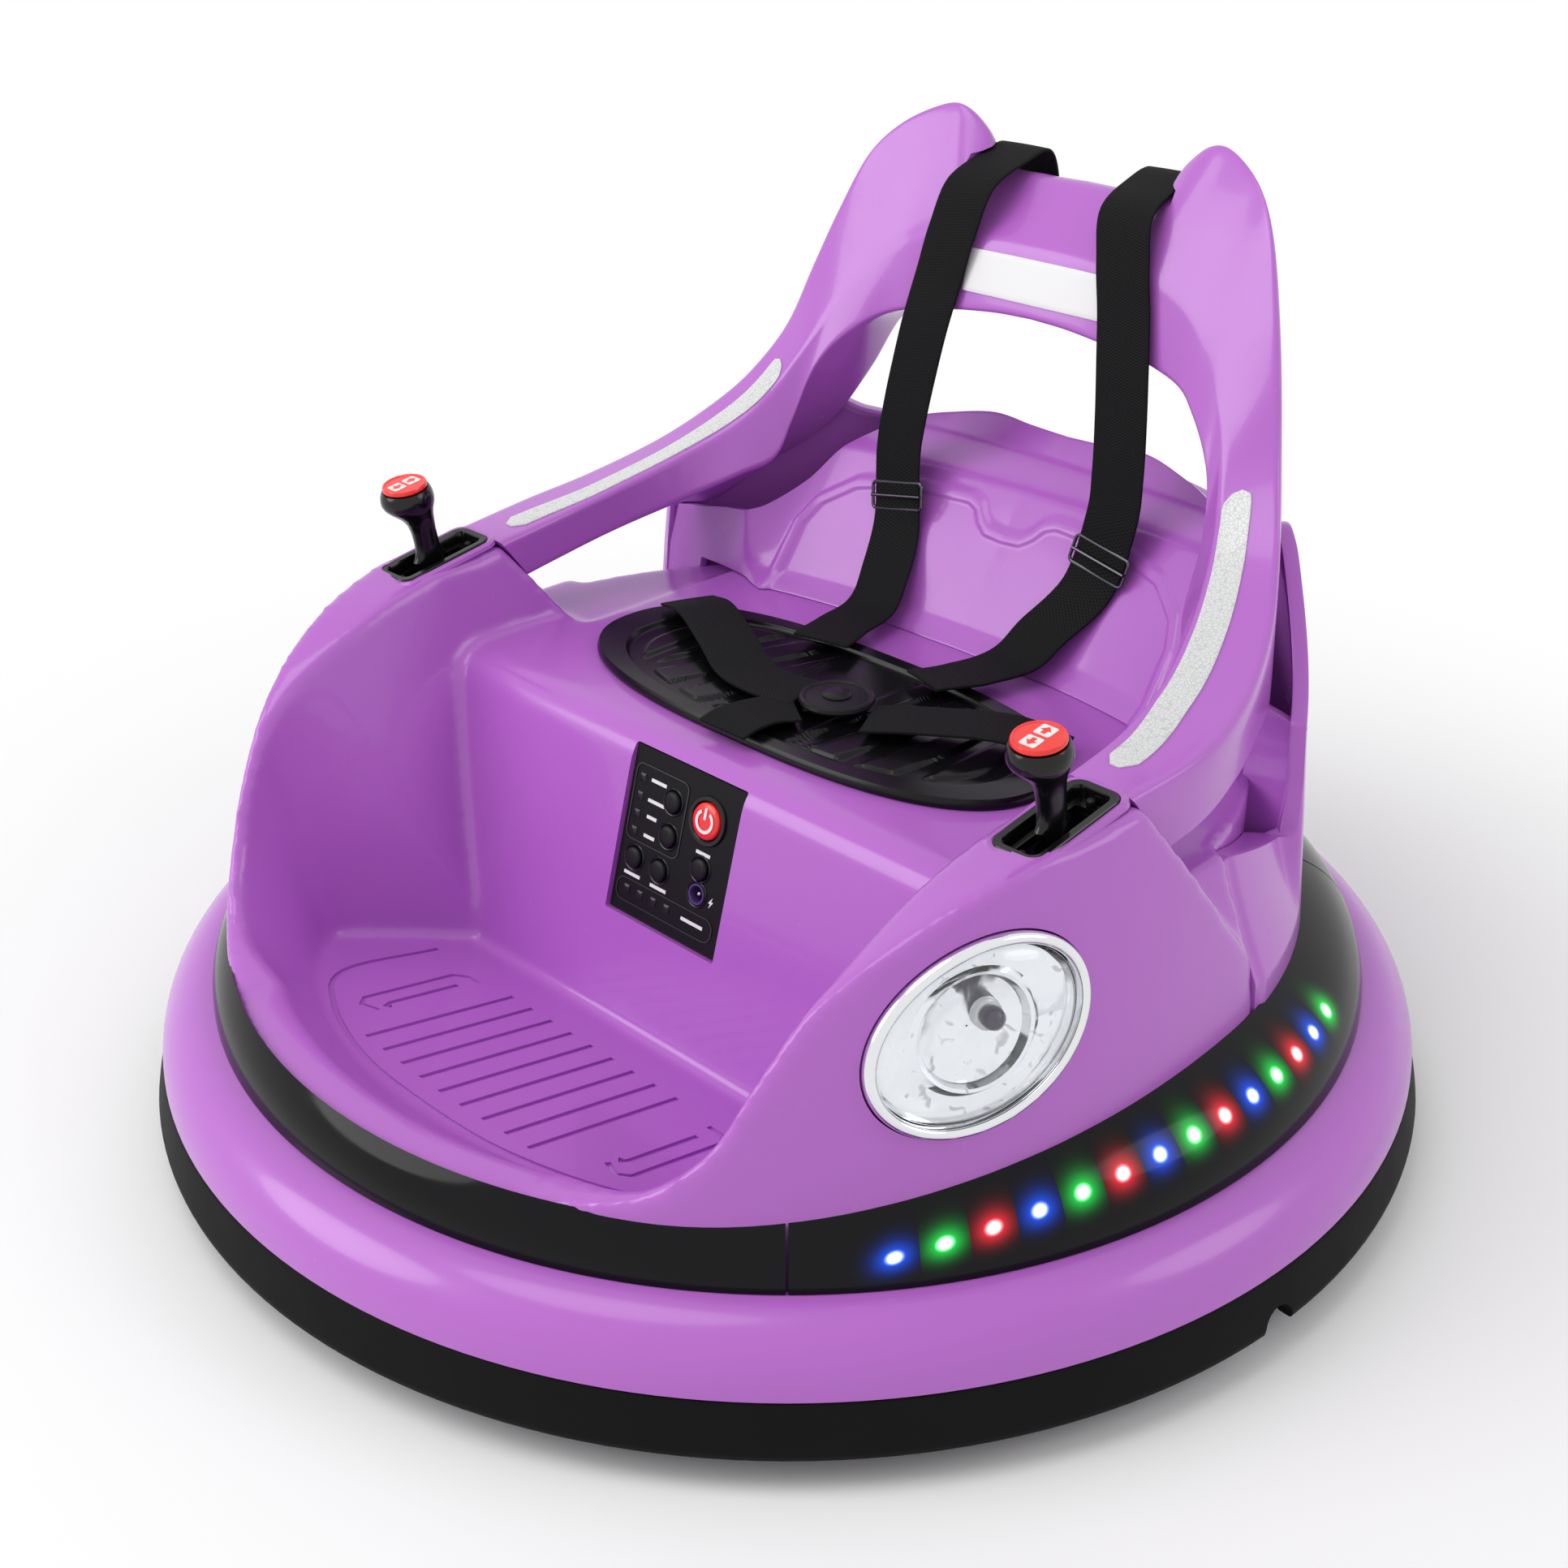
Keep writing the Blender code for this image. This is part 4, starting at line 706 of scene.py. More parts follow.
# A moulded finish: colour, polish, cloud, grain, grain scale, bump, metallic
PURPLE = moulded("purple_gloss", (0.455, 0.13, 0.565), 0.24, 0.05, 0.04, 900, 0.015, coat=0.25, shine=0.4)
RUBBER = moulded("bumper_rubber", (0.0055, 0.0055, 0.0055), 0.55, 0.3, 0.35, 700, 0.3, shine=0.08)
SMOKED = smoked_band_finish()
CHROME = moulded("chrome_trim", (0.78, 0.79, 0.81), 0.05, 0.05, 0.02, 300, 0.03, 1.0)
CHROME_BOWL = bowl_finish()
CLEAR = clear_finish()
BLACK_GLOSS = moulded("black_gloss", (0.004, 0.004, 0.0045), 0.14, 0.3, 0.05, 600, 0.06, shine=0.35)
BLACK_SATIN = moulded("black_satin", (0.0055, 0.0055, 0.006), 0.36, 0.3, 0.25, 1200, 0.2, shine=0.2)
PAD_BLACK = moulded("seat_pad_black", (0.0038, 0.0036, 0.0044), 0.22, 0.3, 0.15, 900, 0.12, shine=0.22)
PANEL_BLACK = moulded("panel_black", (0.0055, 0.0055, 0.006), 0.38, 0.25, 0.2, 1100, 0.12, shine=0.15)
RED = moulded("red_cap", (0.86, 0.022, 0.014), 0.24, 0.05, 0.1, 900, 0.1, coat=0.2)
WHITE = moulded("white_print", (0.8, 0.8, 0.8), 0.4, 0.04, 0.1, 900, 0.05)
GREY_PRINT = moulded("grey_print", (0.02, 0.02, 0.021), 0.3, 0.05, 0.1, 900, 0.05)
DARK_LENS = moulded("indicator_lens", (0.01, 0.009, 0.012), 0.2, 0.2, 0.05, 500, 0.05, shine=0.3)
WEBBING = webbing_finish("webbing_long", 260.0)
WEBBING_SHORT = webbing_finish("webbing_short", 70.0)
SHEETING = reflective_finish()
BULB_GLASS = moulded("bulb", (0.05, 0.03, 0.07), 0.15, 0.1, 0.05, 300, 0.05)
STEEL = moulded("steel", (0.55, 0.55, 0.56), 0.32, 0.1, 0.2, 800, 0.15, 1.0)
DARK_STEEL = moulded("dark_steel", (0.1, 0.1, 0.11), 0.25, 0.1, 0.1, 800, 0.1, 1.0)
GREY = moulded("grey_plastic", (0.26, 0.26, 0.27), 0.42, 0.08, 0.25, 900, 0.2)
SOCKET_PURPLE = moulded("socket_purple", (0.055, 0.025, 0.14), 0.3, 0.1, 0.1, 700, 0.1)
WHEEL_RUBBER = moulded("wheel_rubber", (0.012, 0.012, 0.012), 0.6, 0.3, 0.5, 500, 0.4, shine=0.2)
BOARD = moulded("circuit_board", (0.02, 0.15, 0.05), 0.35, 0.2, 0.2, 300, 0.1)
CASE_BLACK = moulded("case_black", (0.012, 0.012, 0.013), 0.48, 0.2, 0.3, 1000, 0.25, shine=0.3)


# Bumper, ring and light band


def make_bumper():
    low, top = BUMPER_R, 0.369
    edge = up(RUBBER_H)
    outline = [
        (top - 0.01, edge), (top, edge - 0.0004), (low - 0.0012, up(0.01)),
        (low, up(0.004)), (low - 0.001, up(0)), (low - 0.01, up(0)),
    ]
    rubber = shown("rubber_bumper", turned(rounded(outline, 0.0022), 192), RUBBER, "bumper_rubber")
    for angle in (-NOTCH_ANGLE, NOTCH_ANGLE):
        lay = Matrix.Translation(place(angle, low, up(0.002)))
        lay = lay @ Matrix.Rotation(math.radians(angle), 4, "Z") @ QUARTER_X
        carve(rubber, moved(round_bar(0.011, -0.02, 0.02, 40), lay), solver="EXACT")
    rubber.data.set_sharp_from_angle(angle=math.radians(40))

    ring_h = RING_TOP_H - RUBBER_H - GAP
    profile = []
    for k in range(13):
        t = math.pi / 2 * k / 12
        profile.append((RING_TOP_R + 0.032 * math.sin(t), edge + GAP + ring_h * math.cos(t)))
    top = up(RING_TOP_H)
    profile += [
        (0.347, edge + GAP), (0.347, edge + 0.0045), (RING_TOP_R + 0.02, edge + 0.008),
        (RING_TOP_R + 0.004, top - 0.008), (RING_TOP_R - 0.004, top - 0.004),
        (RING_TOP_R - 0.004, top - 0.0004), (RING_TOP_R - 0.002, top + 0.0004),
    ]
    shown("bumper_ring", turned(profile, 192), PURPLE, "purple_plastic")


def body_angle(u):
    return 360 * u - 180


def body_room(height, u):
    """The outline of the bodies, a little inside, where the light band ends."""
    angle = body_angle(u)
    radius = skin_radius(angle, 0)
    if abs(angle) > SPLIT_ANGLE - 2:
        radius = max(radius, REAR_R)
    return place(angle, radius - 0.0014, up(height))


def make_band():
    outer, inner = [], []
    base = up(RING_TOP_H) + GAP
    for k in range(15):
        t = math.radians(76) * k / 14
        for line, less in ((outer, 0), (inner, BAND_T)):
            radius = BAND_MID_R + (BAND_DEPTH - less) * math.cos(t)
            line.append((radius, base + (BAND_H - less) * math.sin(t)))
    seam = math.degrees(0.0007 / RING_TOP_R)
    for k, quarter in enumerate(("front", "right", "rear", "left")):
        name = "light_band_" + quarter
        band = raw_object(name, turned(outer + inner[::-1], 48, 90 * k - 45 + seam, 90 - 2 * seam))
        carve(band, stack_of(240, [0, 0.2], body_room), solver="EXACT")
        dress(name, band, SMOKED, "smoked_plastic")


# Front body


def block_shape(grow, foot):
    """The filled front body: skin, fender edge and a top as high as the seat, moved out by grow."""
    full = up(SEAT_H) + grow

    def shape(u, v):
        angle = body_angle(u)
        front = abs(angle) < SPLIT_ANGLE
        top = (fender_height(angle) if front else SEAT_H - GAP) + grow
        height = foot + min(v / 0.75, 1) * (top - foot)
        radius = (skin_radius(angle, height) if front else REAR_INSET) + grow
        inward = max((v - 0.75) / 0.25, 0)
        share = 1 - 0.18 * min(inward / 0.43, 1) - 0.82 * max((inward - 0.43) / 0.57, 0)
        point = place(angle, radius * share, up(height))
        point.z += max(full - point.z, 0) * smooth_step(0.43, 0.71, inward)
        point.z += (full - point.z) * smooth_step(0.71, 1, inward)
        return point

    return close_ends(sheet_of(240, 28, shape, around=True))


def seat_shape(shrink):
    """Everything under the seat top and behind the seat's leaning front."""
    front = SEAT_FRONT_Y + shrink * math.hypot(1, SEAT_LEAN)
    top = SEAT_H - shrink

    def y_at(height):
        return front - SEAT_LEAN * (SEAT_H - height)

    edge = max(SEAT_EDGE - shrink, 0.004)
    start, corner = Vector((y_at(top - edge), top - edge)), Vector((y_at(top), top))
    end = Vector((corner.x + edge, top))
    profile = [(y_at(-0.1), -0.1), *bend(start, corner, end, 8), (0.5, top), (0.5, -0.1)]
    return prism([(-0.5, y, up(z)) for y, z in profile], (1, 0, 0))


def cabin_object(grow):
    """The room inside the body: the footwell, and all that is over the seat."""

    def shape(u, v):
        angle = body_angle(u)
        front = abs(angle) < SPLIT_ANGLE
        floor = along(WELL_FLOOR, abs(angle)) * SIDE_R if front else REAR_INSET + 0.05
        rim = rim_radius(angle) if front else REAR_INSET + 0.05
        over = fender_height(min(abs(angle), SPLIT_ANGLE)) + 0.0023
        foot = place(angle, floor + grow, 0)
        foot.z = up(floor_height(foot.y) - grow)
        edge = place(angle, rim + grow, up(over))
        row = round(v * 14)
        if row <= 12:
            return foot.lerp(edge, row / 12)
        return place(angle, rim + grow + 0.008 * (row - 12), up(over + (0.02 if row == 13 else 0.16)))

    room = raw_object("cabin_room", close_ends(sheet_of(240, 14, shape, around=True)))
    carve(room, seat_shape(grow))
    return room


def fender_wedge(side, inner, flare, low, high, grow):
    """What is behind a fender's slanted rear edge, outside a width that flares out downwards."""

    def y_at(height):
        return FENDER_END_Y - grow - FENDER_END_SLOPE * (height - ARM_H)

    low -= grow
    inner -= grow
    profile = [(y_at(low), low), (0.5, low), (0.5, high), (y_at(high), high)]
    bm = prism([(side * inner, y, up(z)) for y, z in profile], (side * 0.3, 0, 0))
    for vert in bm.verts:
        if vert.co.z < up((low + high) / 2):
            vert.co.x += side * flare
    return bm


def body_object(name, grow, foot):
    body = raw_object(name, block_shape(grow, foot))
    carve_with(body, cabin_object(-grow))
    shelf = SEAT_H - SHELF_DROP
    for side in (-1, 1):
        carve(body, fender_wedge(side, FENDER_IN_X, 0, shelf, 0.45, -grow))
        carve(body, fender_wedge(side, SHELF_X, SIDE_FLARE, SIDE_LOW_H, shelf + 0.001, -grow))
    return body


def true_skin(body):
    """Brings the outer skin back to its drawn curve, away from the edges."""
    for vert in body.data.vertices:
        x, y, z = vert.co
        height = z - GROUND
        angle = math.degrees(math.atan2(x, -y))
        if abs(angle) > 99 or height < 0.05:
            continue
        hold = smooth_step(0.005, 0.014, fender_height(angle) - height)
        behind = y - FENDER_END_Y + FENDER_END_SLOPE * (height - ARM_H)
        hold *= smooth_step(0.004, 0.016, -behind) if height > SIDE_LOW_H - 0.01 else 1
        radius = math.hypot(x, y)
        drawn = skin_radius(angle, height)
        if abs(radius - drawn) < 0.003:
            share = 1 + (drawn / radius - 1) * hold
            vert.co = (x * share, y * share, z)


def panel_place():
    middle = SEAT_H - PANEL_HALF_H - PANEL_BELOW
    y = SEAT_FRONT_Y - SEAT_LEAN * (SEAT_H - middle)
    return Matrix.Translation((0, y, up(middle))) @ Matrix.Rotation(-math.atan(SEAT_LEAN), 4, "X")


def light_place(side):
    """A headlight's frame: local +Z out of the fender, local X along the oval's long axis."""

    def on_skin(angle, height):
        return place(side * angle, skin_radius(angle, height), up(height))

    centre = on_skin(LIGHT_ANGLE, LIGHT_H)
    rise = (on_skin(LIGHT_ANGLE, LIGHT_H + 0.01) - centre).normalized()
    behind = (on_skin(LIGHT_ANGLE + 4, LIGHT_H) - centre).normalized()
    out = behind.cross(rise) * side
    tilt = math.radians(LIGHT_TILT)
    long_axis = (behind * math.cos(tilt) + rise * math.sin(tilt)).normalized()
    out = (out - long_axis * out.dot(long_axis)).normalized()
    turn = Matrix((long_axis, out.cross(long_axis), out)).transposed().to_4x4()
    return Matrix.Translation(centre) @ turn


def tray_place(side):
    x, y = TRAY_PLACE
    height = fender_height(math.degrees(math.atan2(x, -y)))
    return Matrix.Translation((side * x, y, up(height))) @ Matrix.Rotation(math.radians(TRAY_TILT), 4, "X")


def groove(points):
    """A cutter for a line pressed into the footwell floor, along (x, y) points."""
    route = [Vector((x, y, up(floor_height(y)))) for x, y in points]
    lift, sink = Vector((0, 0, 0.004)), Vector((0, 0, -GROOVE_DEPTH))
    rings = []
    for k, point in enumerate(route):
        ahead = (route[min(k + 1, len(route) - 1)] - route[max(k - 1, 0)]).normalized()
        across = ahead.cross(Vector((0, 0, 1))).normalized() * GROOVE_W / 2
        right, left = point + across, point - across
        rings.append([right + lift, right + sink, left + sink, left + lift])
    return loft(rings)


# Right halves of the lines round the footwell's bars
BRACKETS = (
    ((0.099, -0.228), (0.11, -0.232), (0.116, -0.226), (0.116, -0.164), (0.11, -0.158), (0.099, -0.158)),
    ((0.0995, -0.219), (0.1015, -0.222), (0.1035, -0.217), (0.1035, -0.17)),
)
CONTOUR = ((0.15, -0.15), (0.152, -0.215), (0.118, -0.245), (0.06, -0.2655))


def tread_shapes():
    """Cutters for the footwell's bars, a pair of brackets on each side and the contour round them."""
    lines = []
    for k in range(9):
        x = -0.0755 + 0.0178 * k
        lines.append([(x, -0.256 + 0.1 * abs(x) ** 1.3), (x, -0.151)])
    for side in (-1, 1):
        lines += [[(side * x, y) for x, y in bracket] for bracket in BRACKETS]
    contour = [*((-x, y) for x, y in CONTOUR), (0, -0.27), *CONTOUR[::-1]]
    lines.append([(p.x, p.y) for p in spline([Vector((x, y, 0)) for x, y in contour], 6)])
    return [groove(line) for line in lines]


def make_front_body():
    body = body_object("front_body", 0, BODY_FOOT)
    melt(body, 0.0033, 9)
    true_skin(body)
    carve_with(body, body_object("hollow", -0.0055, BODY_FOOT - 0.04))
    carve(body, moved(rect_bar(0.0452, 0.0502, 0.0016, -0.03, 0.03), panel_place() @ QUARTER_X))
    for side in (-1, 1):
        room = oval_stack([(0.0622, 0.0467, -0.021), (0.0622, 0.0467, 0.03)], 96)
        carve(body, moved(room, light_place(side)))
        carve(body, moved(rect_bar(0.0138, 0.0325, 0.006, -0.03, 0.02), tray_place(side)))
    for line in tread_shapes():
        carve(body, line)
    dress("front_body", body, PURPLE, "purple_plastic", sharp=50)


# Rear shell, seat back and roll hoop

# The rear shell's top edge: angle, rise over the arms
REAR_RISE = (
    (118.4, -0.022), (124, -0.008), (129, 0.01), (133, 0.028),
    (137, 0.048), (140, 0.054), (146, 0.044), (156, 0.038),
)


def make_rear_shell():
    edge, shelf = SPLIT_ANGLE - 1.2, 117.4

    def shape(u, v):
        angle = edge + (360 - 2 * edge) * u
        folded = angle if angle <= 180 else 360 - angle
        run = min(max((folded - SPLIT_ANGLE - 0.6) / (shelf - SPLIT_ANGLE - 0.6), 0), 1)
        low_top = SEAT_H - 0.0101 - 0.0205 * run
        top = low_top + (ARM_H + along(REAR_RISE, folded) - low_top) * smooth_step(shelf, shelf + 1.2, folded)
        height = BODY_FOOT + (top - BODY_FOOT) * min(v / 0.94, 1)
        radius = REAR_R - 0.0765 * max(height - 0.11, 0)
        ledge_r = REAR_R - 0.026 + 0.01 * run
        low_part = 1 - smooth_step(shelf - 1.4, shelf + 0.9, folded)
        lean = min(max(height - SIDE_LOW_H, 0) / (low_top - SIDE_LOW_H), 1) * low_part
        radius += (ledge_r - radius) * lean
        lip = 0.0085 + (ledge_r - REAR_INSET - 0.0093) * low_part
        radius -= lip * max((v - 0.94) / 0.06, 0)
        radius -= 0.0016 * (1 - smooth_step(SPLIT_ANGLE - 0.2, SPLIT_ANGLE + 0.5, folded))
        return place(angle, radius, up(height))

    shell = raw_object("rear_shell", sheet_of(340, 66, shape))
    thicken(shell, WALL, -1, 0.0014)
    dress("rear_shell", shell, PURPLE, "purple_plastic", sharp=50)


# The seat back from its middle to a wing: across, set back, and across, share of the full height
SEAT_BACK_SET = ((0, 0.012), (0.05, 0.011), (0.094, 0.008), (0.122, 0.004), (0.142, 0), (0.154, -0.004),
                 (0.172, -0.002), (0.205, 0.001), (0.226, 0.001), (0.2435, -0.001), (0.25, -0.002))
SEAT_BACK_TOP = ((0, 0.975), (0.03, 0.985), (0.055, 1.0), (0.094, 0.945), (0.122, 0.87), (0.142, 0.73),
                 (0.154, 0.55), (0.172, 0.4), (0.205, 0.34), (0.226, 0.3), (0.25, 0.27))
# The raised line on the seat back, from the middle of its dip to its foot: across, height
BACK_LINE = (
    (-0.001, 0.2632), (0.013, 0.2642), (0.02, 0.2685), (0.026, 0.275), (0.034, 0.2778),
    (0.085, 0.2762), (0.12, 0.2695), (0.141, 0.256), (0.148, 0.242), (0.1495, 0.205),
)


def gap_to_line(points, x, y):
    """How far a point is from a line of short straight pieces."""
    nearest = 1.0
    for (x0, y0), (x1, y1) in zip(points, points[1:]):
        t = ((x - x0) * (x1 - x0) + (y - y0) * (y1 - y0)) / ((x1 - x0) ** 2 + (y1 - y0) ** 2)
        t = min(max(t, 0), 1)
        nearest = min(nearest, math.hypot(x - x0 - t * (x1 - x0), y - y0 - t * (y1 - y0)))
    return nearest


def make_seat_back():
    foot = SEAT_H + GAP
    full = BACK_TOP_H - foot

    def shape(u, v):
        x = 0.25 * (2 * u - 1)
        share = along(SEAT_BACK_TOP, abs(x))
        drop = 0.04 * smooth_step(0.2195, 0.221, abs(x))
        height = foot + (share * full + drop) * v - drop
        climb = (height - foot) / full
        lean = 0.7 * (height - foot) + 0.024 * smooth_step(0.74, 0.86, climb)
        upright = smooth_step(0.15, 0.18, abs(x))
        y = BACK_FOOT_Y + along(SEAT_BACK_SET, abs(x)) + lean * (1 - 0.8 * upright)
        y -= 0.0016 * (1 - smooth_step(0.0022, 0.0044, gap_to_line(BACK_LINE, abs(x), height)))
        y -= 0.006 * (1 - smooth_step(0, 0.01, height - foot)) * (1 - upright)
        return Vector((x, y, up(height)))

    back = raw_object("seat_back", sheet_of(320, 84, shape))
    thicken(back, 0.006, -1 if back.data.polygons[0].normal.y < 0 else 1, 0.0016)
    dress("seat_back", back, PURPLE, "purple_plastic", sharp=50)


# An arm's foot to the middle of the bar: angle from the rear, inward, height for four edges of the section
HOOP_ROWS = (
    ((100, 0.04, 0.226), (100, 0.04, 0.256), (100, 0.000, 0.257), (100, 0.001, 0.212)),
    ((86, 0.045, 0.236), (86, 0.045, 0.264), (85, 0.000, 0.263), (85, 0.001, 0.219)),
    ((75, 0.045, 0.246), (75, 0.045, 0.274), (74, 0.000, 0.272), (74, 0.000, 0.228)),
    ((63, 0.047, 0.26), (64, 0.043, 0.288), (63, 0.000, 0.29), (63, -0.002, 0.24)),
    ((53, 0.049, 0.2755), (54.5, 0.037, 0.3045), (54.5, 0.000, 0.314), (56, -0.003, 0.24)),
    ((47, 0.044, 0.284), (48.5, 0.032, 0.322), (49.5, 0.000, 0.335), (51, -0.004, 0.254)),
    ((44.2, 0.037, 0.306), (44, 0.029, 0.344), (45, 0.000, 0.363), (47, -0.005, 0.266)),
    ((41.5, 0.034, 0.335), (40, 0.027, 0.367), (41.5, 0.000, 0.4), (42, -0.005, 0.28)),
    ((38.5, 0.035, 0.354), (36.5, 0.0265, 0.388), (38, 0.000, 0.436), (37.5, -0.005, 0.3)),
    ((34, 0.037, 0.3695), (32, 0.0285, 0.408), (34, 0.000, 0.471), (33, -0.005, 0.332)),
    ((29.5, 0.0385, 0.379), (27, 0.034, 0.4235), (29.5, 0.000, 0.491), (29, -0.005, 0.366)),
    ((24, 0.045, 0.385), (22, 0.041, 0.4325), (24, 0.002, 0.5035), (24, -0.005, 0.386)),
    ((20, 0.051, 0.388), (19, 0.045, 0.4332), (20.5, 0.006, 0.505), (20, -0.005, 0.389)),
    ((17, 0.0555, 0.39), (16.5, 0.048, 0.4336), (17, 0.009, 0.494), (17, -0.005, 0.391)),
    ((13.5, 0.059, 0.392), (13.5, 0.05, 0.434), (13.5, 0.0125, 0.4745), (13.5, -0.005, 0.393)),
    ((7, 0.063, 0.3945), (7, 0.0525, 0.4355), (7, 0.018, 0.472), (7, -0.005, 0.3955)),
    ((0, 0.0645, 0.3955), (0, 0.0535, 0.436), (0, 0.0188, 0.472), (0, -0.005, 0.3965)),
)


def hoop_point(row, k):
    angle, inward, height = row[k]
    return place(180 - angle, HOOP_R - inward, up(height))


def hoop_lines(steps):
    """The right half as five smooth lines: inner edge, ridge, outer edge, its round, lower edge."""
    lines = [spline([hoop_point(row, k) for row in HOOP_ROWS], steps) for k in range(4)]
    rounded_edge = []
    for edge, lower in zip(lines[2], lines[3]):
        flat = edge.to_2d().normalized()
        reach = max(edge.to_2d().length, lower.to_2d().length - 0.003) + 0.001
        rounded_edge.append(Vector((flat.x * reach, flat.y * reach, edge.z - 0.01)))
    return [lines[0], lines[1], lines[2], rounded_edge, lines[3]]


def make_hoop():
    lines = hoop_lines(8)
    right = [list(ring) for ring in zip(*lines)]
    left = [[Vector((-p.x, p.y, p.z)) for p in ring] for ring in right]
    sections = []
    for ring in right + left[-2::-1]:
        corners = [Vector(point) for point in rounded(ring, (0.004, 0.0045, 0.01, 0.008, 0.004), 5)]
        section = []
        for k, corner in enumerate(corners):
            section.append(corner)
            if k % 6 == 5:
                after = corners[(k + 1) % len(corners)]
                section += [corner.lerp(after, share) for share in (0.06, 0.5, 0.94)]
        sections.append(section)

    bm = loft(sections)
    normal = Vector((0, 1, FENDER_END_SLOPE)).normalized()
    foot = Vector((0, FENDER_END_Y, up(ARM_H))) + normal * GAP
    everything = [*bm.verts, *bm.edges, *bm.faces]
    bmesh.ops.bisect_plane(bm, geom=everything, plane_co=foot, plane_no=normal, clear_inner=True)
    hoop = raw_object("roll_hoop", close_ends(bm))
    surface = surface_of(hoop)
    for side in (-1, 1):
        route, ways = shoulder_route(side)
        carve(hoop, ribbon_shape(route[:5], ways[:5], 0.002))
        make_stripe(side, lines, surface)
    make_label(surface)
    dress("roll_hoop", hoop, PURPLE, "purple_plastic", sharp=50)


def make_stripe(side, lines, surface):
    """A reflective stripe laid on the arm's upper face, with round ends."""
    first, last = 4, 45
    rows = last - first
    steps_long = [0.0]
    for k in range(first, last):
        steps_long.append(steps_long[-1] + (lines[1][k + 1] - lines[1][k]).length)

    def shape(u, v):
        row = round(v * rows)
        ridge, edge = lines[1][first + row], lines[2][first + row]
        across = (edge - ridge).normalized()
        end = min(steps_long[row], steps_long[-1] - steps_long[row])
        width = STRIPE_W / 2 * math.sqrt(max(1 - max(1 - end / 0.006, 0) ** 2, 0.12))
        share = STRIPE_AT + 0.1 * smooth_step(0.25, 0, v) + 0.03 * smooth_step(0.8, 1, v)
        point = ridge.lerp(edge, share) + across * width * (2 * u - 1)
        point.x *= side
        spot, normal, _, _ = surface.find_nearest(point)
        return spot + normal * 0.0004

    name = side_name("reflective_stripe", side)
    stripe = raw_object(name, sheet_of(6, rows, shape))
    thicken(stripe, 0.001, 0, 0.0003)
    dress(name, stripe, SHEETING, "reflective_sheet")


def make_label(surface):
    """A bare white plate bent along the bar's front, between the shoulder straps."""
    low, high = hoop_point(HOOP_ROWS[-1], 0), hoop_point(HOOP_ROWS[-1], 1)
    middle = low.lerp(high, 0.52)

    def shape(u, v):
        x = LABEL_HALF[0] * (2 * u - 1)
        z = middle.z + LABEL_HALF[1] * (2 * v - 1)
        spot = surface.ray_cast(Vector((x, 0.12, z)), Vector((0, 1, 0)))[0]
        return spot - Vector((0, 0.0006, 0))

    plate = raw_object("label_plate", sheet_of(40, 8, shape))
    thicken(plate, 0.0012, 0, 0.0004)
    dress("label_plate", plate, WHITE, "white_plate")


# Headlights


def light_sink(at, x, y):
    """How far the fender's skin lies behind the headlight's flat frame at one place on it."""
    outward = at.to_3x3() @ Vector((0, 0, 1))
    sink = 0
    for _ in range(4):
        point = at @ Vector((x, y, sink))
        level = Vector((point.x, point.y, 0))
        angle = math.degrees(math.atan2(abs(point.x), -point.y))
        gap = skin_radius(angle, point.z - GROUND) - level.length
        sink += gap / outward.dot(level.normalized())
    return sink


def make_headlight(side):
    at = light_place(side)

    def seat(make, name, bm, finish, slot):
        """Bends a lamp piece with the fender and puts it in place."""
        for vert in bm.verts:
            vert.co.z += light_sink(at, vert.co.x, vert.co.y)
        make(side_name("headlight_" + name, side), moved(bm, at), finish, slot)

    a, b = LIGHT_HALF
    loops = []
    for k in range(9):
        t = math.pi * k / 8
        grow = 0.0031 * (1 - math.cos(t))
        loops.append((a - grow, b - grow, 0.0012 + 0.0036 * math.sin(t)))
    loops += [(a - 0.0064, b - 0.0064, -0.004), (a - 0.0055, b - 0.0055, -0.008), (a, b, -0.008)]

    def rim(u, v):
        return oval_at(*loops[round(v * len(loops)) % len(loops)], u)

    seat(shown, "bezel", sheet_of(120, len(loops), rim, around=True), CHROME, "chrome")

    la, lb = a - LENS_INSET, b - LENS_INSET
    front, back = [], []
    for k in range(9):
        s = math.cos(math.pi / 2 * k / 9)
        rise = math.sin(math.pi / 2 * k / 9)
        front.append((la * s, lb * s, 0.0095 * rise - 0.0005))
        back.append(((la - 0.0015) * s, (lb - 0.0015) * s, 0.0075 * rise - 0.0025))
    seat(shown, "lens", oval_stack(back[::-1] + front, 96), CLEAR, "clear_lens")

    cup = [
        (la, lb, -0.003), (la * 0.94, lb * 0.93, -0.0062), (0.0345, 0.03, -0.0078),
        (0.031, 0.0285, -0.0058), (0.029, 0.027, -0.0064), (0.027, 0.0255, -0.011),
        (0.02, 0.019, -0.0145), (0.01, 0.0095, -0.0155), (0.0005, 0.0005, -0.0158),
    ]
    shell = [
        (0.0005, 0.0005, -0.018), (0.022, 0.017, -0.018), (la * 0.86, lb * 0.86, -0.011), (la, lb, -0.0048),
    ]
    seat(shown, "reflector", oval_stack(cup + shell + [cup[0]], 96), CHROME_BOWL, "chrome")
    aside = Matrix.Translation((0.011, 0, 0))
    bulb = round_stack([
        (0.0035, -0.0155), (0.0055, -0.0125), (0.006, -0.0095),
        (0.005, -0.0065), (0.0025, -0.0045), (0.0004, -0.004),
    ], 32)
    seat(added, "bulb", moved(bulb, aside), BULB_GLASS, "chrome")
    socket = round_stack([(0.0075, -0.0157), (0.0075, -0.0135), (0.006, -0.0128)], 32)
    seat(added, "socket", moved(socket, aside), STEEL, "black_plastic")


# Joysticks

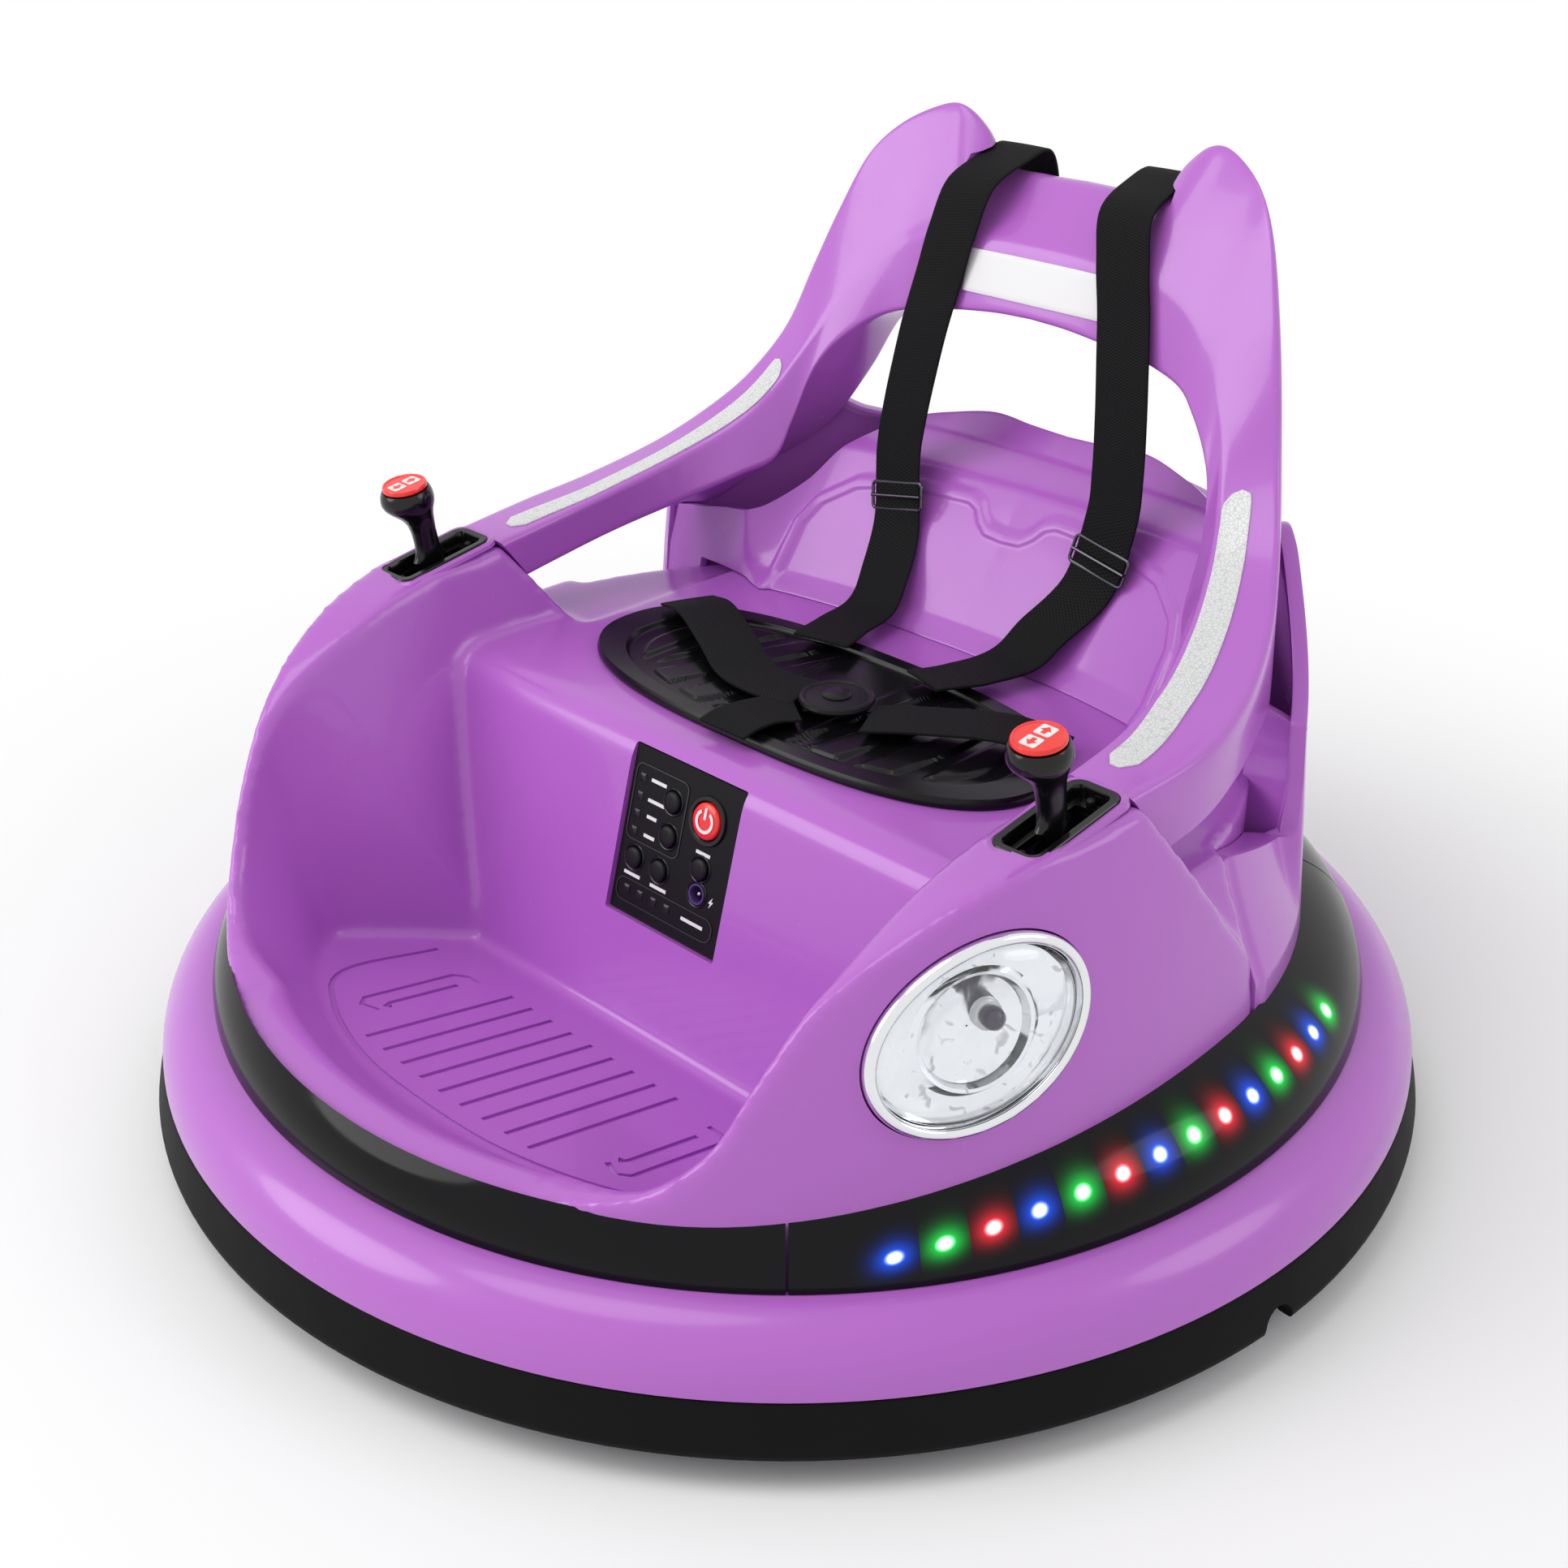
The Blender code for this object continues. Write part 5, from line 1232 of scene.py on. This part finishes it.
TRAY = (
    (0.0105, 0.029, 0.004, -0.0098), (0.0128, 0.0315, 0.0055, -0.009), (0.0131, 0.0318, 0.0058, 0.0005),
    (0.015, 0.0338, 0.0075, 0.0012), (0.0152, 0.034, 0.0077, 0.0022), (0.0146, 0.0334, 0.0071, 0.0029),
    (0.0112, 0.03, 0.005, 0.0027), (0.0104, 0.0292, 0.0045, 0.0012), (0.01, 0.0288, 0.0042, -0.0045),
    (0.0072, 0.0235, 0.003, -0.005), (0.007, 0.0233, 0.003, -0.0088),
)
TRAY_SURROUND = (
    (0.0156, 0.0344, 0.008, -0.001), (0.0196, 0.0386, 0.011, -0.001), (0.019, 0.038, 0.0105, 0.0012),
    (0.0172, 0.0362, 0.009, 0.0024), (0.0158, 0.0346, 0.0082, 0.002), (0.0156, 0.0344, 0.008, -0.001),
)
SCREW_DOME = ((0.0026, -0.0048), (0.0026, -0.003), (0.0022, -0.002), (0.0012, -0.0014), (0.0002, -0.0012))
# A lever from its pivot up: half across, half along, shift along, height
SHANK = (
    (0.0046, 0.0046, 0, -0.004), (0.0055, 0.0062, 0, 0.008), (0.0056, 0.011, 0.001, 0.015),
    (0.0056, 0.0118, 0.001, 0.0185), (0.006, 0.01, 0.001, 0.0205), (0.0068, 0.008, 0.001, 0.0245),
    (0.0072, 0.0076, 0.001, 0.03), (0.0075, 0.0078, 0.0008, 0.037), (0.0085, 0.0086, 0.0002, 0.043),
    (0.0106, 0.0106, -0.0016, 0.0485), (0.0136, 0.0136, -0.0038, 0.0535), (0.0156, 0.0156, -0.0048, 0.057),
    (0.0163, 0.0163, -0.0052, 0.06), (0.016, 0.016, -0.0052, 0.0632), (0.0152, 0.0152, -0.0051, 0.0658),
    (0.0143, 0.0143, -0.005, 0.0672),
)
CAP = (
    (0.0129, 0.0001), (0.0136, 0.0008), (0.0136, 0.0022), (0.013, 0.0031),
    (0.0123, 0.0031), (0.0117, 0.0026), (0.0004, 0.0028),
)
ARROW_HEAD = ((-0.003, -0.0002), (0.003, -0.0002), (0, 0.0031))
ARROW_STEM = ((-0.0012, -0.0028), (0.0012, -0.0028), (0.0012, 0.0000), (-0.0012, 0.0000))


def make_joystick(side):
    at = tray_place(side)
    tray = shown(side_name("joystick_tray", side), moved(rect_stack(TRAY), at), BLACK_GLOSS, "black_gloss")
    carve(tray, moved(rect_bar(0.007, 0.023, 0.003, -0.03, 0.01), at), solver="EXACT")
    tray.data.set_sharp_from_angle(angle=math.radians(35))
    surround = moved(rect_stack(TRAY_SURROUND, 64), at)
    added(side_name("tray_surround", side), surround, PURPLE, "purple_plastic")
    screws = []
    for along_y in (-0.0262, 0.0262):
        screws.append(moved(round_stack(SCREW_DOME, 24), at @ Matrix.Translation((0, along_y, 0.0006))))
    added(side_name("tray_screws", side), joined(*screws), BLACK_SATIN, "black_gloss")

    def shank_at(level, u):
        a, b, shift, z = level
        return Vector((a * math.cos(math.tau * u), b * math.sin(math.tau * u) + shift, z))

    pivot = at @ Matrix.Translation((0, -0.004, -0.016))
    rider = side_name("joystick", side)
    pin = moved(round_bar(0.0025, -0.009, 0.009, 24), QUARTER_Y)
    lever = moved(joined(stack_of(48, SHANK, shank_at), pin), pivot)
    shown(side_name("joystick_lever", side), lever, BLACK_GLOSS, "black_gloss", rider)
    top = pivot @ Matrix.Translation((0, -0.005, 0.0674))
    shown(side_name("joystick_cap", side), moved(round_stack(CAP, 64), top), RED, "red_plastic", rider)
    tiles, arrows = [], []
    for way in (-1, 1):
        lay = top @ Matrix.Translation((0, way * 0.0053, 0.0026))
        tiles.append(moved(rect_bar(0.0046, 0.0042, 0.0012, 0, 0.0004, 32), lay))
        for outline in (ARROW_HEAD, ARROW_STEM):
            flat = [(x, way * y, 0.00035) for x, y in outline]
            arrows.append(moved(prism(flat, (0, 0, 0.00025)), lay))
    added(side_name("cap_tiles", side), joined(*tiles), WHITE, "red_plastic", rider)
    added(side_name("cap_arrows", side), joined(*arrows), RED, "red_plastic", rider)


# Control panel

# Buttons: radius, across, up
PANEL_BUTTONS = (
    ("power_button", 0.0105, 0.0195, 0.0245), ("joystick_button", 0.0062, -0.009, 0.0255),
    ("speed_button", 0.0062, -0.008, 0.0055), ("melody_button", 0.0062, -0.0315, -0.0155),
    ("lamp_button", 0.0062, -0.0105, -0.016), ("pairing_button", 0.0062, 0.0205, -0.0035),
)
SOCKET_PLACE = (0.0215, -0.018)
INDICATORS = [(-0.0358, 0.0314), (-0.0358, 0.0205), (-0.0358, 0.0098), (-0.0358, -0.0005)]
INDICATORS += [(-0.0334 + 0.0112 * k, -0.0352) for k in range(4)]
INDICATOR = (
    (0.0026, 0.0026, 0.0007, -0.001), (0.0026, 0.0026, 0.0007, 0.0003),
    (0.0021, 0.0021, 0.0006, 0.0007), (0.0004, 0.0004, 0.0001, 0.0008),
)
PLATE = (
    (0.044, 0.049, 0.001, -0.004), (0.0445, 0.0495, 0.0012, -0.0034),
    (0.0445, 0.0495, 0.0012, -0.0004), (0.0442, 0.0492, 0.001, 0.0),
)
SOCKET_BARREL = (
    (0.0063, -0.018), (0.0063, 0.0004), (0.006, 0.001), (0.005, 0.001),
    (0.0046, 0.0004), (0.0046, -0.008), (0.0003, -0.008),
)
# Lines round groups of buttons: across, up, half width, half height, corner
PANEL_FRAMES = ((-0.02, 0.017, 0.0215, 0.0225, 0.005), (-0.002, -0.0358, 0.0395, 0.0068, 0.006))
BOLT = (
    (0.001, 0.0034), (-0.0018, -0.0005), (-0.0002, -0.0005),
    (-0.001, -0.0034), (0.0018, 0.0007), (0.0002, 0.0007),
)
# Plain bars where the panel has words: across, up, half length
WORD_BARS = (
    (-0.0225, 0.0322, 0.0062), (-0.022, 0.0203, 0.0068), (-0.0235, 0.0108, 0.004),
    (-0.023, -0.0004, 0.0044), (0.0205, 0.0055, 0.0056), (-0.031, -0.0258, 0.0066),
    (-0.009, -0.0262, 0.0066), (0.0215, -0.0356, 0.0088),
)


def panel_flat():
    """From a drawing on the panel (x across, y up, z out of it) to its place on the car."""
    return panel_place() @ Matrix.Translation((0, 0.003, 0)) @ QUARTER_X


def printed(bm):
    """Gives a flat mark the thickness of a print."""
    bmesh.ops.solidify(bm, geom=bm.faces[:], thickness=0.0002)
    return bm


def ring_band(radius, width, height, turn=1.0, start=0.0):
    """A flat printed ring or arc."""

    def shape(u, v):
        angle = math.tau * (start + u * turn)
        r = radius + width * (v - 0.5)
        return Vector((r * math.cos(angle), r * math.sin(angle), height))

    return printed(sheet_of(48, 1, shape, around=turn == 1.0))


def frame_line(half_x, half_y, corner, width):
    """A printed outline with round corners."""

    def shape(u, v):
        grow = width * (v - 0.5)
        return Vector((*rounded_rect(half_x + grow, half_y + grow, corner + grow, u), 0))

    return printed(sheet_of(64, 1, shape, around=True))


def ring_profile(inner, outer, height):
    """A low collar with a round top."""
    profile = [
        (inner, 0), (outer, 0), (outer - 0.0002, height * 0.6), (outer - 0.0007, height),
        (inner + 0.0005, height), (inner, height * 0.7),
    ]
    return turned(profile, 64)


def make_button(name, r, at):
    """A button that presses, with its mark and its collar."""
    power = name == "power_button"
    levels = [
        (r, -0.008), (r, 0.0014), (r - 0.0004, 0.0021), (r - 0.0012, 0.0025), (r * 0.5, 0.0027),
        (0.0003, 0.00275),
    ]
    finish, slot = (RED, "red_plastic") if power else (BLACK_SATIN, "black_gloss")
    shown(name, moved(round_stack(levels, 48), at), finish, slot, name)
    if power:
        arc = ring_band(0.006, 0.0019, 0.0032, 0.82, 0.34)
        bar = rect_bar(0.0009, 0.0034, 0.0004, 0.0026, 0.0033, 16)
        bar = moved(bar, Matrix.Translation((0, 0.0044, 0)))
        added("power_mark", moved(joined(arc, bar), at), WHITE, "white_plate", name)
        collar = ring_profile(r + 0.0009, r + 0.004, 0.0016)
    else:
        ring = ring_band(r - 0.0016, 0.0005, 0.0022)
        added(name + "_ring", moved(ring, at), GREY_PRINT, "black_gloss", name)
        collar = ring_profile(r + 0.0009, r + 0.0022, 0.0009)
    added(name + "_collar", moved(collar, at), BLACK_GLOSS, "black_gloss")


def make_panel():
    flat = panel_flat()

    def spot(x, y, z=0.0):
        return flat @ Matrix.Translation((x, y, z))

    plate = raw_object("control_panel", moved(rect_stack(PLATE, 64), flat))
    for _, radius, x, y in (*PANEL_BUTTONS, ("charging_socket", 0.0065, *SOCKET_PLACE)):
        carve(plate, moved(round_bar(radius + GAP, -0.03, 0.03, 48), spot(x, y)), solver="EXACT")
    dress("control_panel", plate, PANEL_BLACK, "black_gloss")
    for name, radius, x, y in PANEL_BUTTONS:
        make_button(name, radius, spot(x, y))

    at = spot(*SOCKET_PLACE)
    shown("charging_socket", moved(round_stack(SOCKET_BARREL, 48), at), SOCKET_PURPLE, "socket")
    pin = round_stack([(0.0011, -0.0082), (0.0011, -0.0012), (0.0004, -0.0006)], 24)
    added("socket_pin", moved(pin, at), STEEL, "steel")
    added("socket_collar", moved(ring_profile(0.0067, 0.008, 0.001), at), BLACK_GLOSS, "black_gloss")

    dots = [moved(rect_stack(INDICATOR, 24), spot(x, y)) for x, y in INDICATORS]
    shown("indicator_lamps", joined(*dots), DARK_LENS, "indicator")
    lines = []
    for x, y, half_x, half_y, corner in PANEL_FRAMES:
        lines.append(moved(frame_line(half_x, half_y, corner, 0.0008), spot(x, y, 0.0003)))
    added("panel_lines", joined(*lines), GREY_PRINT, "black_gloss")
    marks = [moved(rect_bar(half, 0.001, 0.0002, 0, 0.0003, 16), spot(x, y)) for x, y, half in WORD_BARS]
    bolt = prism([(x, y, 0.0001) for x, y in BOLT], (0, 0, 0.0003))
    marks.append(moved(bolt, spot(0.033, -0.019)))
    added("panel_print", joined(*marks), WHITE, "white_plate")


# Seat pad and harness


def make_seat_pad():
    """A lens-shaped moulded pad: a raised border, broad end panels, slanted bars and a round boss."""
    low = up(SEAT_H) + GAP
    middle = 0.0255

    def edge(turn, grow):
        c, s = math.cos(turn), math.sin(turn)
        x = (PAD_HALF[0] + grow) * math.copysign(abs(c) ** 0.72, c)
        y = middle + (PAD_HALF[1] + grow) * math.copysign(abs(s) ** 0.85, s)
        return Vector((x, y))

    def top_height(x, y, share):
        border = smooth_step(0.855, 0.875, share)
        inside = 1 - smooth_step(0.775, 0.795, share)
        slant = x - (0.16 if x > 0 else 0.34) * (y - middle)
        bars = 0.5 + 0.5 * math.cos(math.tau * (slant + 0.004) / 0.033)
        raised = smooth_step(0.28, 0.4, bars) * smooth_step(0.026, 0.029, abs(x))
        raised *= 1 - smooth_step(0.102, 0.105, abs(x))
        ends = smooth_step(0.112, 0.115, abs(x))
        boss = 1 - smooth_step(0.92, 1.0, math.hypot(x / 0.026, (y - middle) / 0.02))
        return 0.0032 + 0.0028 * border + 0.0018 * inside * max(raised, ends, boss)

    def shape(u, v):
        turn = math.tau * u
        if v <= 0.9:
            share = v / 0.9
            spot = Vector((0, middle)).lerp(edge(turn, -0.0015), share)
            return Vector((spot.x, spot.y, low + top_height(spot.x, spot.y, share)))
        if v < 0.99:
            t = min((v - 0.9) / 0.09, 1)
            spot = edge(turn, -0.0015 + 0.0015 * math.sin(math.pi * t * 0.75))
            return Vector((spot.x, spot.y, low + 0.006 * (1 - t)))
        return Vector((0, middle, low))

    pad = shown("seat_pad", sheet_of(300, 150, shape, around=True), PAD_BLACK, "seat_pad", sharp=40)


# A shoulder strap from the bar down: spread, back from the hoop, share of the height, and its end on the pad
STRAP_HANG = (
    (1.045, 0.0524, 0.974), (1.155, 0.061, 0.8725), (1.264, 0.065, 0.766), (1.364, 0.07, 0.658),
    (1.445, 0.074, 0.549), (1.51, 0.078, 0.437), (1.527, 0.082, 0.332), (1.39, 0.0905, 0.173),
)
STRAP_END = ((1.16, 0.015, 0.02), (1.05, -0.004, 0.006), (0.93, -0.036, 0.005), (0.75, -0.066, 0.007))
# Straps on the pad: across, forward or back, height over the pad
LAP_STRAP = ((0.152, 0.062, 0.003), (0.122, 0.05, 0.01), (0.082, 0.03, 0.008), (0.05, 0.014, 0.004))
LEFT_LAP_END = [(-0.024, 0.01, 0.0035), (0.002, 0.014, 0.0035)]
CROTCH_STRAP = (
    (0, -0.052, 0.003), (0, -0.04, 0.005), (0, -0.024, 0.004), (0.004, -0.012, 0.0035),
    (0.01, -0.003, 0.0035),
)
PAD_TOP = up(SEAT_H) + 0.0065
BUCKLE = (
    (0.019, 0.004), (0.0214, 0.0046), (0.0221, 0.0062), (0.0214, 0.008), (0.02, 0.0088),
    (0.0187, 0.0086), (0.018, 0.0079), (0.017, 0.008), (0.0004, 0.0088),
)


def shoulder_route(side):
    x = side * STRAP_X
    bar_top = hoop_point(HOOP_ROWS[-1], 2).z
    behind = math.sqrt((HOOP_R + 0.005) ** 2 - (STRAP_X - WEB_W / 2) ** 2) + 0.003
    route = [
        (x, behind, bar_top - 0.036), (x, behind, bar_top - 0.01),
        (x, HOOP_R - 0.004, bar_top + 0.0085), (x, HOOP_R - 0.026, bar_top + 0.005),
    ]
    for spread, back, share in STRAP_HANG:
        route.append((x * spread, HOOP_R - back, PAD_TOP + (bar_top - PAD_TOP) * share))
    for spread, back, rise in STRAP_END:
        route.append((x * spread, BACK_FOOT_Y + back, PAD_TOP + rise))
    ways = [Vector((1, 0, 0))] * (len(route) - 2) + [Vector((1, side * 0.2, 0)), Vector((1, side * 0.4, 0))]
    return [Vector(point) for point in route], ways


def ribbon_lines(route, ways, steps=10):
    """Middle line, width direction and face direction along flat webbing."""
    middle, across = spline(route, steps), spline(ways, steps)
    found = []
    for k, point in enumerate(middle):
        ahead = middle[min(k + 1, len(middle) - 1)] - middle[max(k - 1, 0)]
        way = (across[k] - ahead * (across[k].dot(ahead) / ahead.length_squared)).normalized()
        found.append((point, way, ahead.cross(way).normalized()))
    return found


def ribbon_shape(route, ways, grow):
    """A cutter that leaves room round the webbing."""
    rings = []
    for point, way, face in ribbon_lines(route, ways, 3):
        wide = way * (WEB_W / 2 + grow)
        thick = face * (WEB_T / 2 + grow)
        rings.append([point + wide + thick, point - wide + thick, point - wide - thick, point + wide - thick])
    return loft(rings)


def make_strap(name, route, ways, finish):
    lines = ribbon_lines(route, ways)
    rows = len(lines) - 1

    def shape(u, v):
        point, way, face = lines[round(v * rows)]
        crown = 0.0003 * (1 - (2 * u - 1) ** 2)
        return point + way * WEB_W * (u - 0.5) + face * crown

    strap = raw_object(name, sheet_of(10, rows, shape))
    thicken(strap, WEB_T, 0, 0.0005)
    dress(name, strap, finish, "webbing")
    return lines


def slider(name, line):
    """A strap adjuster: a thin wire frame with a middle bar, threaded on the webbing."""
    point, way, face = line
    lay = Matrix.Translation(point) @ Matrix((way, face.cross(way), face)).transposed().to_4x4()

    def shape(u, v):
        t = math.tau * (round(v * 10) % 10) / 10
        grow = WIRE_R * math.cos(t)
        x, y = rounded_rect(0.0203 + grow, 0.0085 + grow, 0.003 + grow, u)
        return Vector((x, y, WIRE_R * math.sin(t) + 0.0006))

    bar = moved(round_bar(WIRE_R, -0.02, 0.02, 16), Matrix.Translation((0, 0, 0.0024)) @ QUARTER_Y)
    added(name, moved(joined(sheet_of(64, 10, shape, around=True), bar), lay), DARK_STEEL, "steel")


def on_pad(points):
    return [Vector((x, y, PAD_TOP + rise)) for x, y, rise in points]


def make_harness():
    for side in (-1, 1):
        route, ways = shoulder_route(side)
        name = side_name("shoulder_strap", side)
        lines = make_strap(name, route, ways, WEBBING)
        slider(side_name("strap_adjuster", side), lines[-45])
        lap = [(side * x, y, rise) for x, y, rise in LAP_STRAP]
        if side < 0:
            lap += LEFT_LAP_END
        ways = [Vector((0.4, -side * 0.9, 0))] * len(lap)
        make_strap(side_name("lap_strap", side), on_pad(lap), ways, WEBBING_SHORT)
    ways = [Vector((1, 0, 0))] * len(CROTCH_STRAP)
    make_strap("crotch_strap", on_pad(CROTCH_STRAP), ways, WEBBING_SHORT)
    at = Matrix.Translation((*BUCKLE_PLACE, PAD_TOP))
    shown("centre_buckle", moved(round_stack(BUCKLE, 64), at), BLACK_SATIN, "black_plastic")
    press = round_stack([(0.0085, 0.0078), (0.0085, 0.0092), (0.0077, 0.0097), (0.0004, 0.01)], 48)
    added("buckle_press", moved(press, at), BLACK_SATIN, "black_plastic")


# Pieces kept from the solids, with their finishes

KEPT = (
    (CASE_BLACK, ("chassis_pan", "battery", "control_box", "speaker")),
    (BOARD, ("panel_board",)),
    (WHITE, ("lamp_strip_left", "lamp_strip_right")),
    (WHEEL_RUBBER, ("drive_wheel_left", "drive_wheel_right", "caster_wheel_front", "caster_wheel_rear")),
    (STEEL, ("axle_left", "axle_right", "motor_left", "motor_right")),
    (STEEL, ("caster_fork_front", "caster_fork_rear")),
    (GREY, ("gearbox_left", "gearbox_right")),
)


def dress_kept():
    for finish, names in KEPT:
        for name in names:
            mesh = frame["nodes"][name].data
            mesh.materials.clear()
            mesh.materials.append(finish)


# Floor, light and camera


def seen_share(tree):
    """One for what the camera sees, straight, mirrored or through glass, and nothing for other light."""
    calc = calculator(tree)
    path = wire(tree, "ShaderNodeLightPath").outputs
    seen = calc("MAXIMUM", path["Is Camera Ray"], path["Is Glossy Ray"])
    return calc("MAXIMUM", seen, path["Is Transmission Ray"])


def make_floor():
    bm = bmesh.new()
    bmesh.ops.create_grid(bm, x_segments=1, y_segments=1, size=6)
    floor = raw_object("floor", bm)
    made, tree, shader = new_finish("studio_floor", roughness=0.65, specular_ior_level=0.2)
    where = object_place(tree)
    tone = mix_colour(tree, noise(tree, where, 3.0), (0.92, 0.92, 0.92, 1), (0.94, 0.94, 0.94, 1))
    feed(tree, shader.inputs, {"Base Color": tone})
    away = wire(tree, "ShaderNodeVectorMath", {0: where}, operation="LENGTH").outputs["Value"]
    share = calculator(tree)("MULTIPLY", seen_share(tree), ramp(tree, away, 0.4, 0.95))
    white = wire(tree, "ShaderNodeEmission", {"Color": (1, 1, 1, 1), "Strength": 1.0}).outputs[0]
    blend = wire(tree, "ShaderNodeMixShader", {0: share, 1: shader.outputs[0], 2: white}).outputs[0]
    feed(tree, tree.nodes["Material Output"].inputs, {"Surface": blend})
    floor.data.materials.append(made)


def soft_light(name, at, aim, size, energy):
    lamp = bpy.data.lights.new(name, "AREA")
    lamp.shape = "DISK"
    lamp.size = size
    lamp.energy = energy
    obj = bpy.data.objects.new(name, lamp)
    obj.location = at
    obj.rotation_euler = (Vector(aim) - Vector(at)).to_track_quat("-Z", "Y").to_euler()
    bpy.context.scene.collection.objects.link(obj)


def make_studio():
    make_floor()
    scene = bpy.context.scene
    scene.world = bpy.data.worlds.new("studio")
    scene.world.use_nodes = True
    tree = scene.world.node_tree
    sky = tree.nodes["Background"]
    sky.inputs["Color"].default_value = (1, 1, 1, 1)
    feed(tree, sky.inputs, {"Strength": ramp(tree, seen_share(tree), 0, 1, SKY_LIGHT, 1.0)})
    soft_light("key_light", (1.9, 1.1, 1.5), (0, 0, 0.2), 1.2, 8)
    soft_light("front_light", (-1.45, -2.2, 1.5), (0, 0, 0.2), 1.8, 31)
    soft_light("top_light", (-0.2, -0.9, 2.4), (0, -0.1, 0.1), 1.4, 12)

    camera = bpy.data.cameras.new("photo_camera")
    camera.lens = CAMERA_LENS
    camera.sensor_width = 36
    obj = bpy.data.objects.new("photo_camera", camera)
    obj.location = CAMERA_PLACE
    obj.rotation_euler = [math.radians(turn) for turn in CAMERA_TURN]
    scene.collection.objects.link(obj)
    scene.camera = obj
    scene.view_settings.view_transform = "Standard"


make_bumper()
make_band()
make_front_body()
make_rear_shell()
make_seat_back()
make_hoop()
for hand in (-1, 1):
    make_headlight(hand)
    make_joystick(hand)
make_panel()
make_seat_pad()
make_harness()
dress_kept()
make_studio()
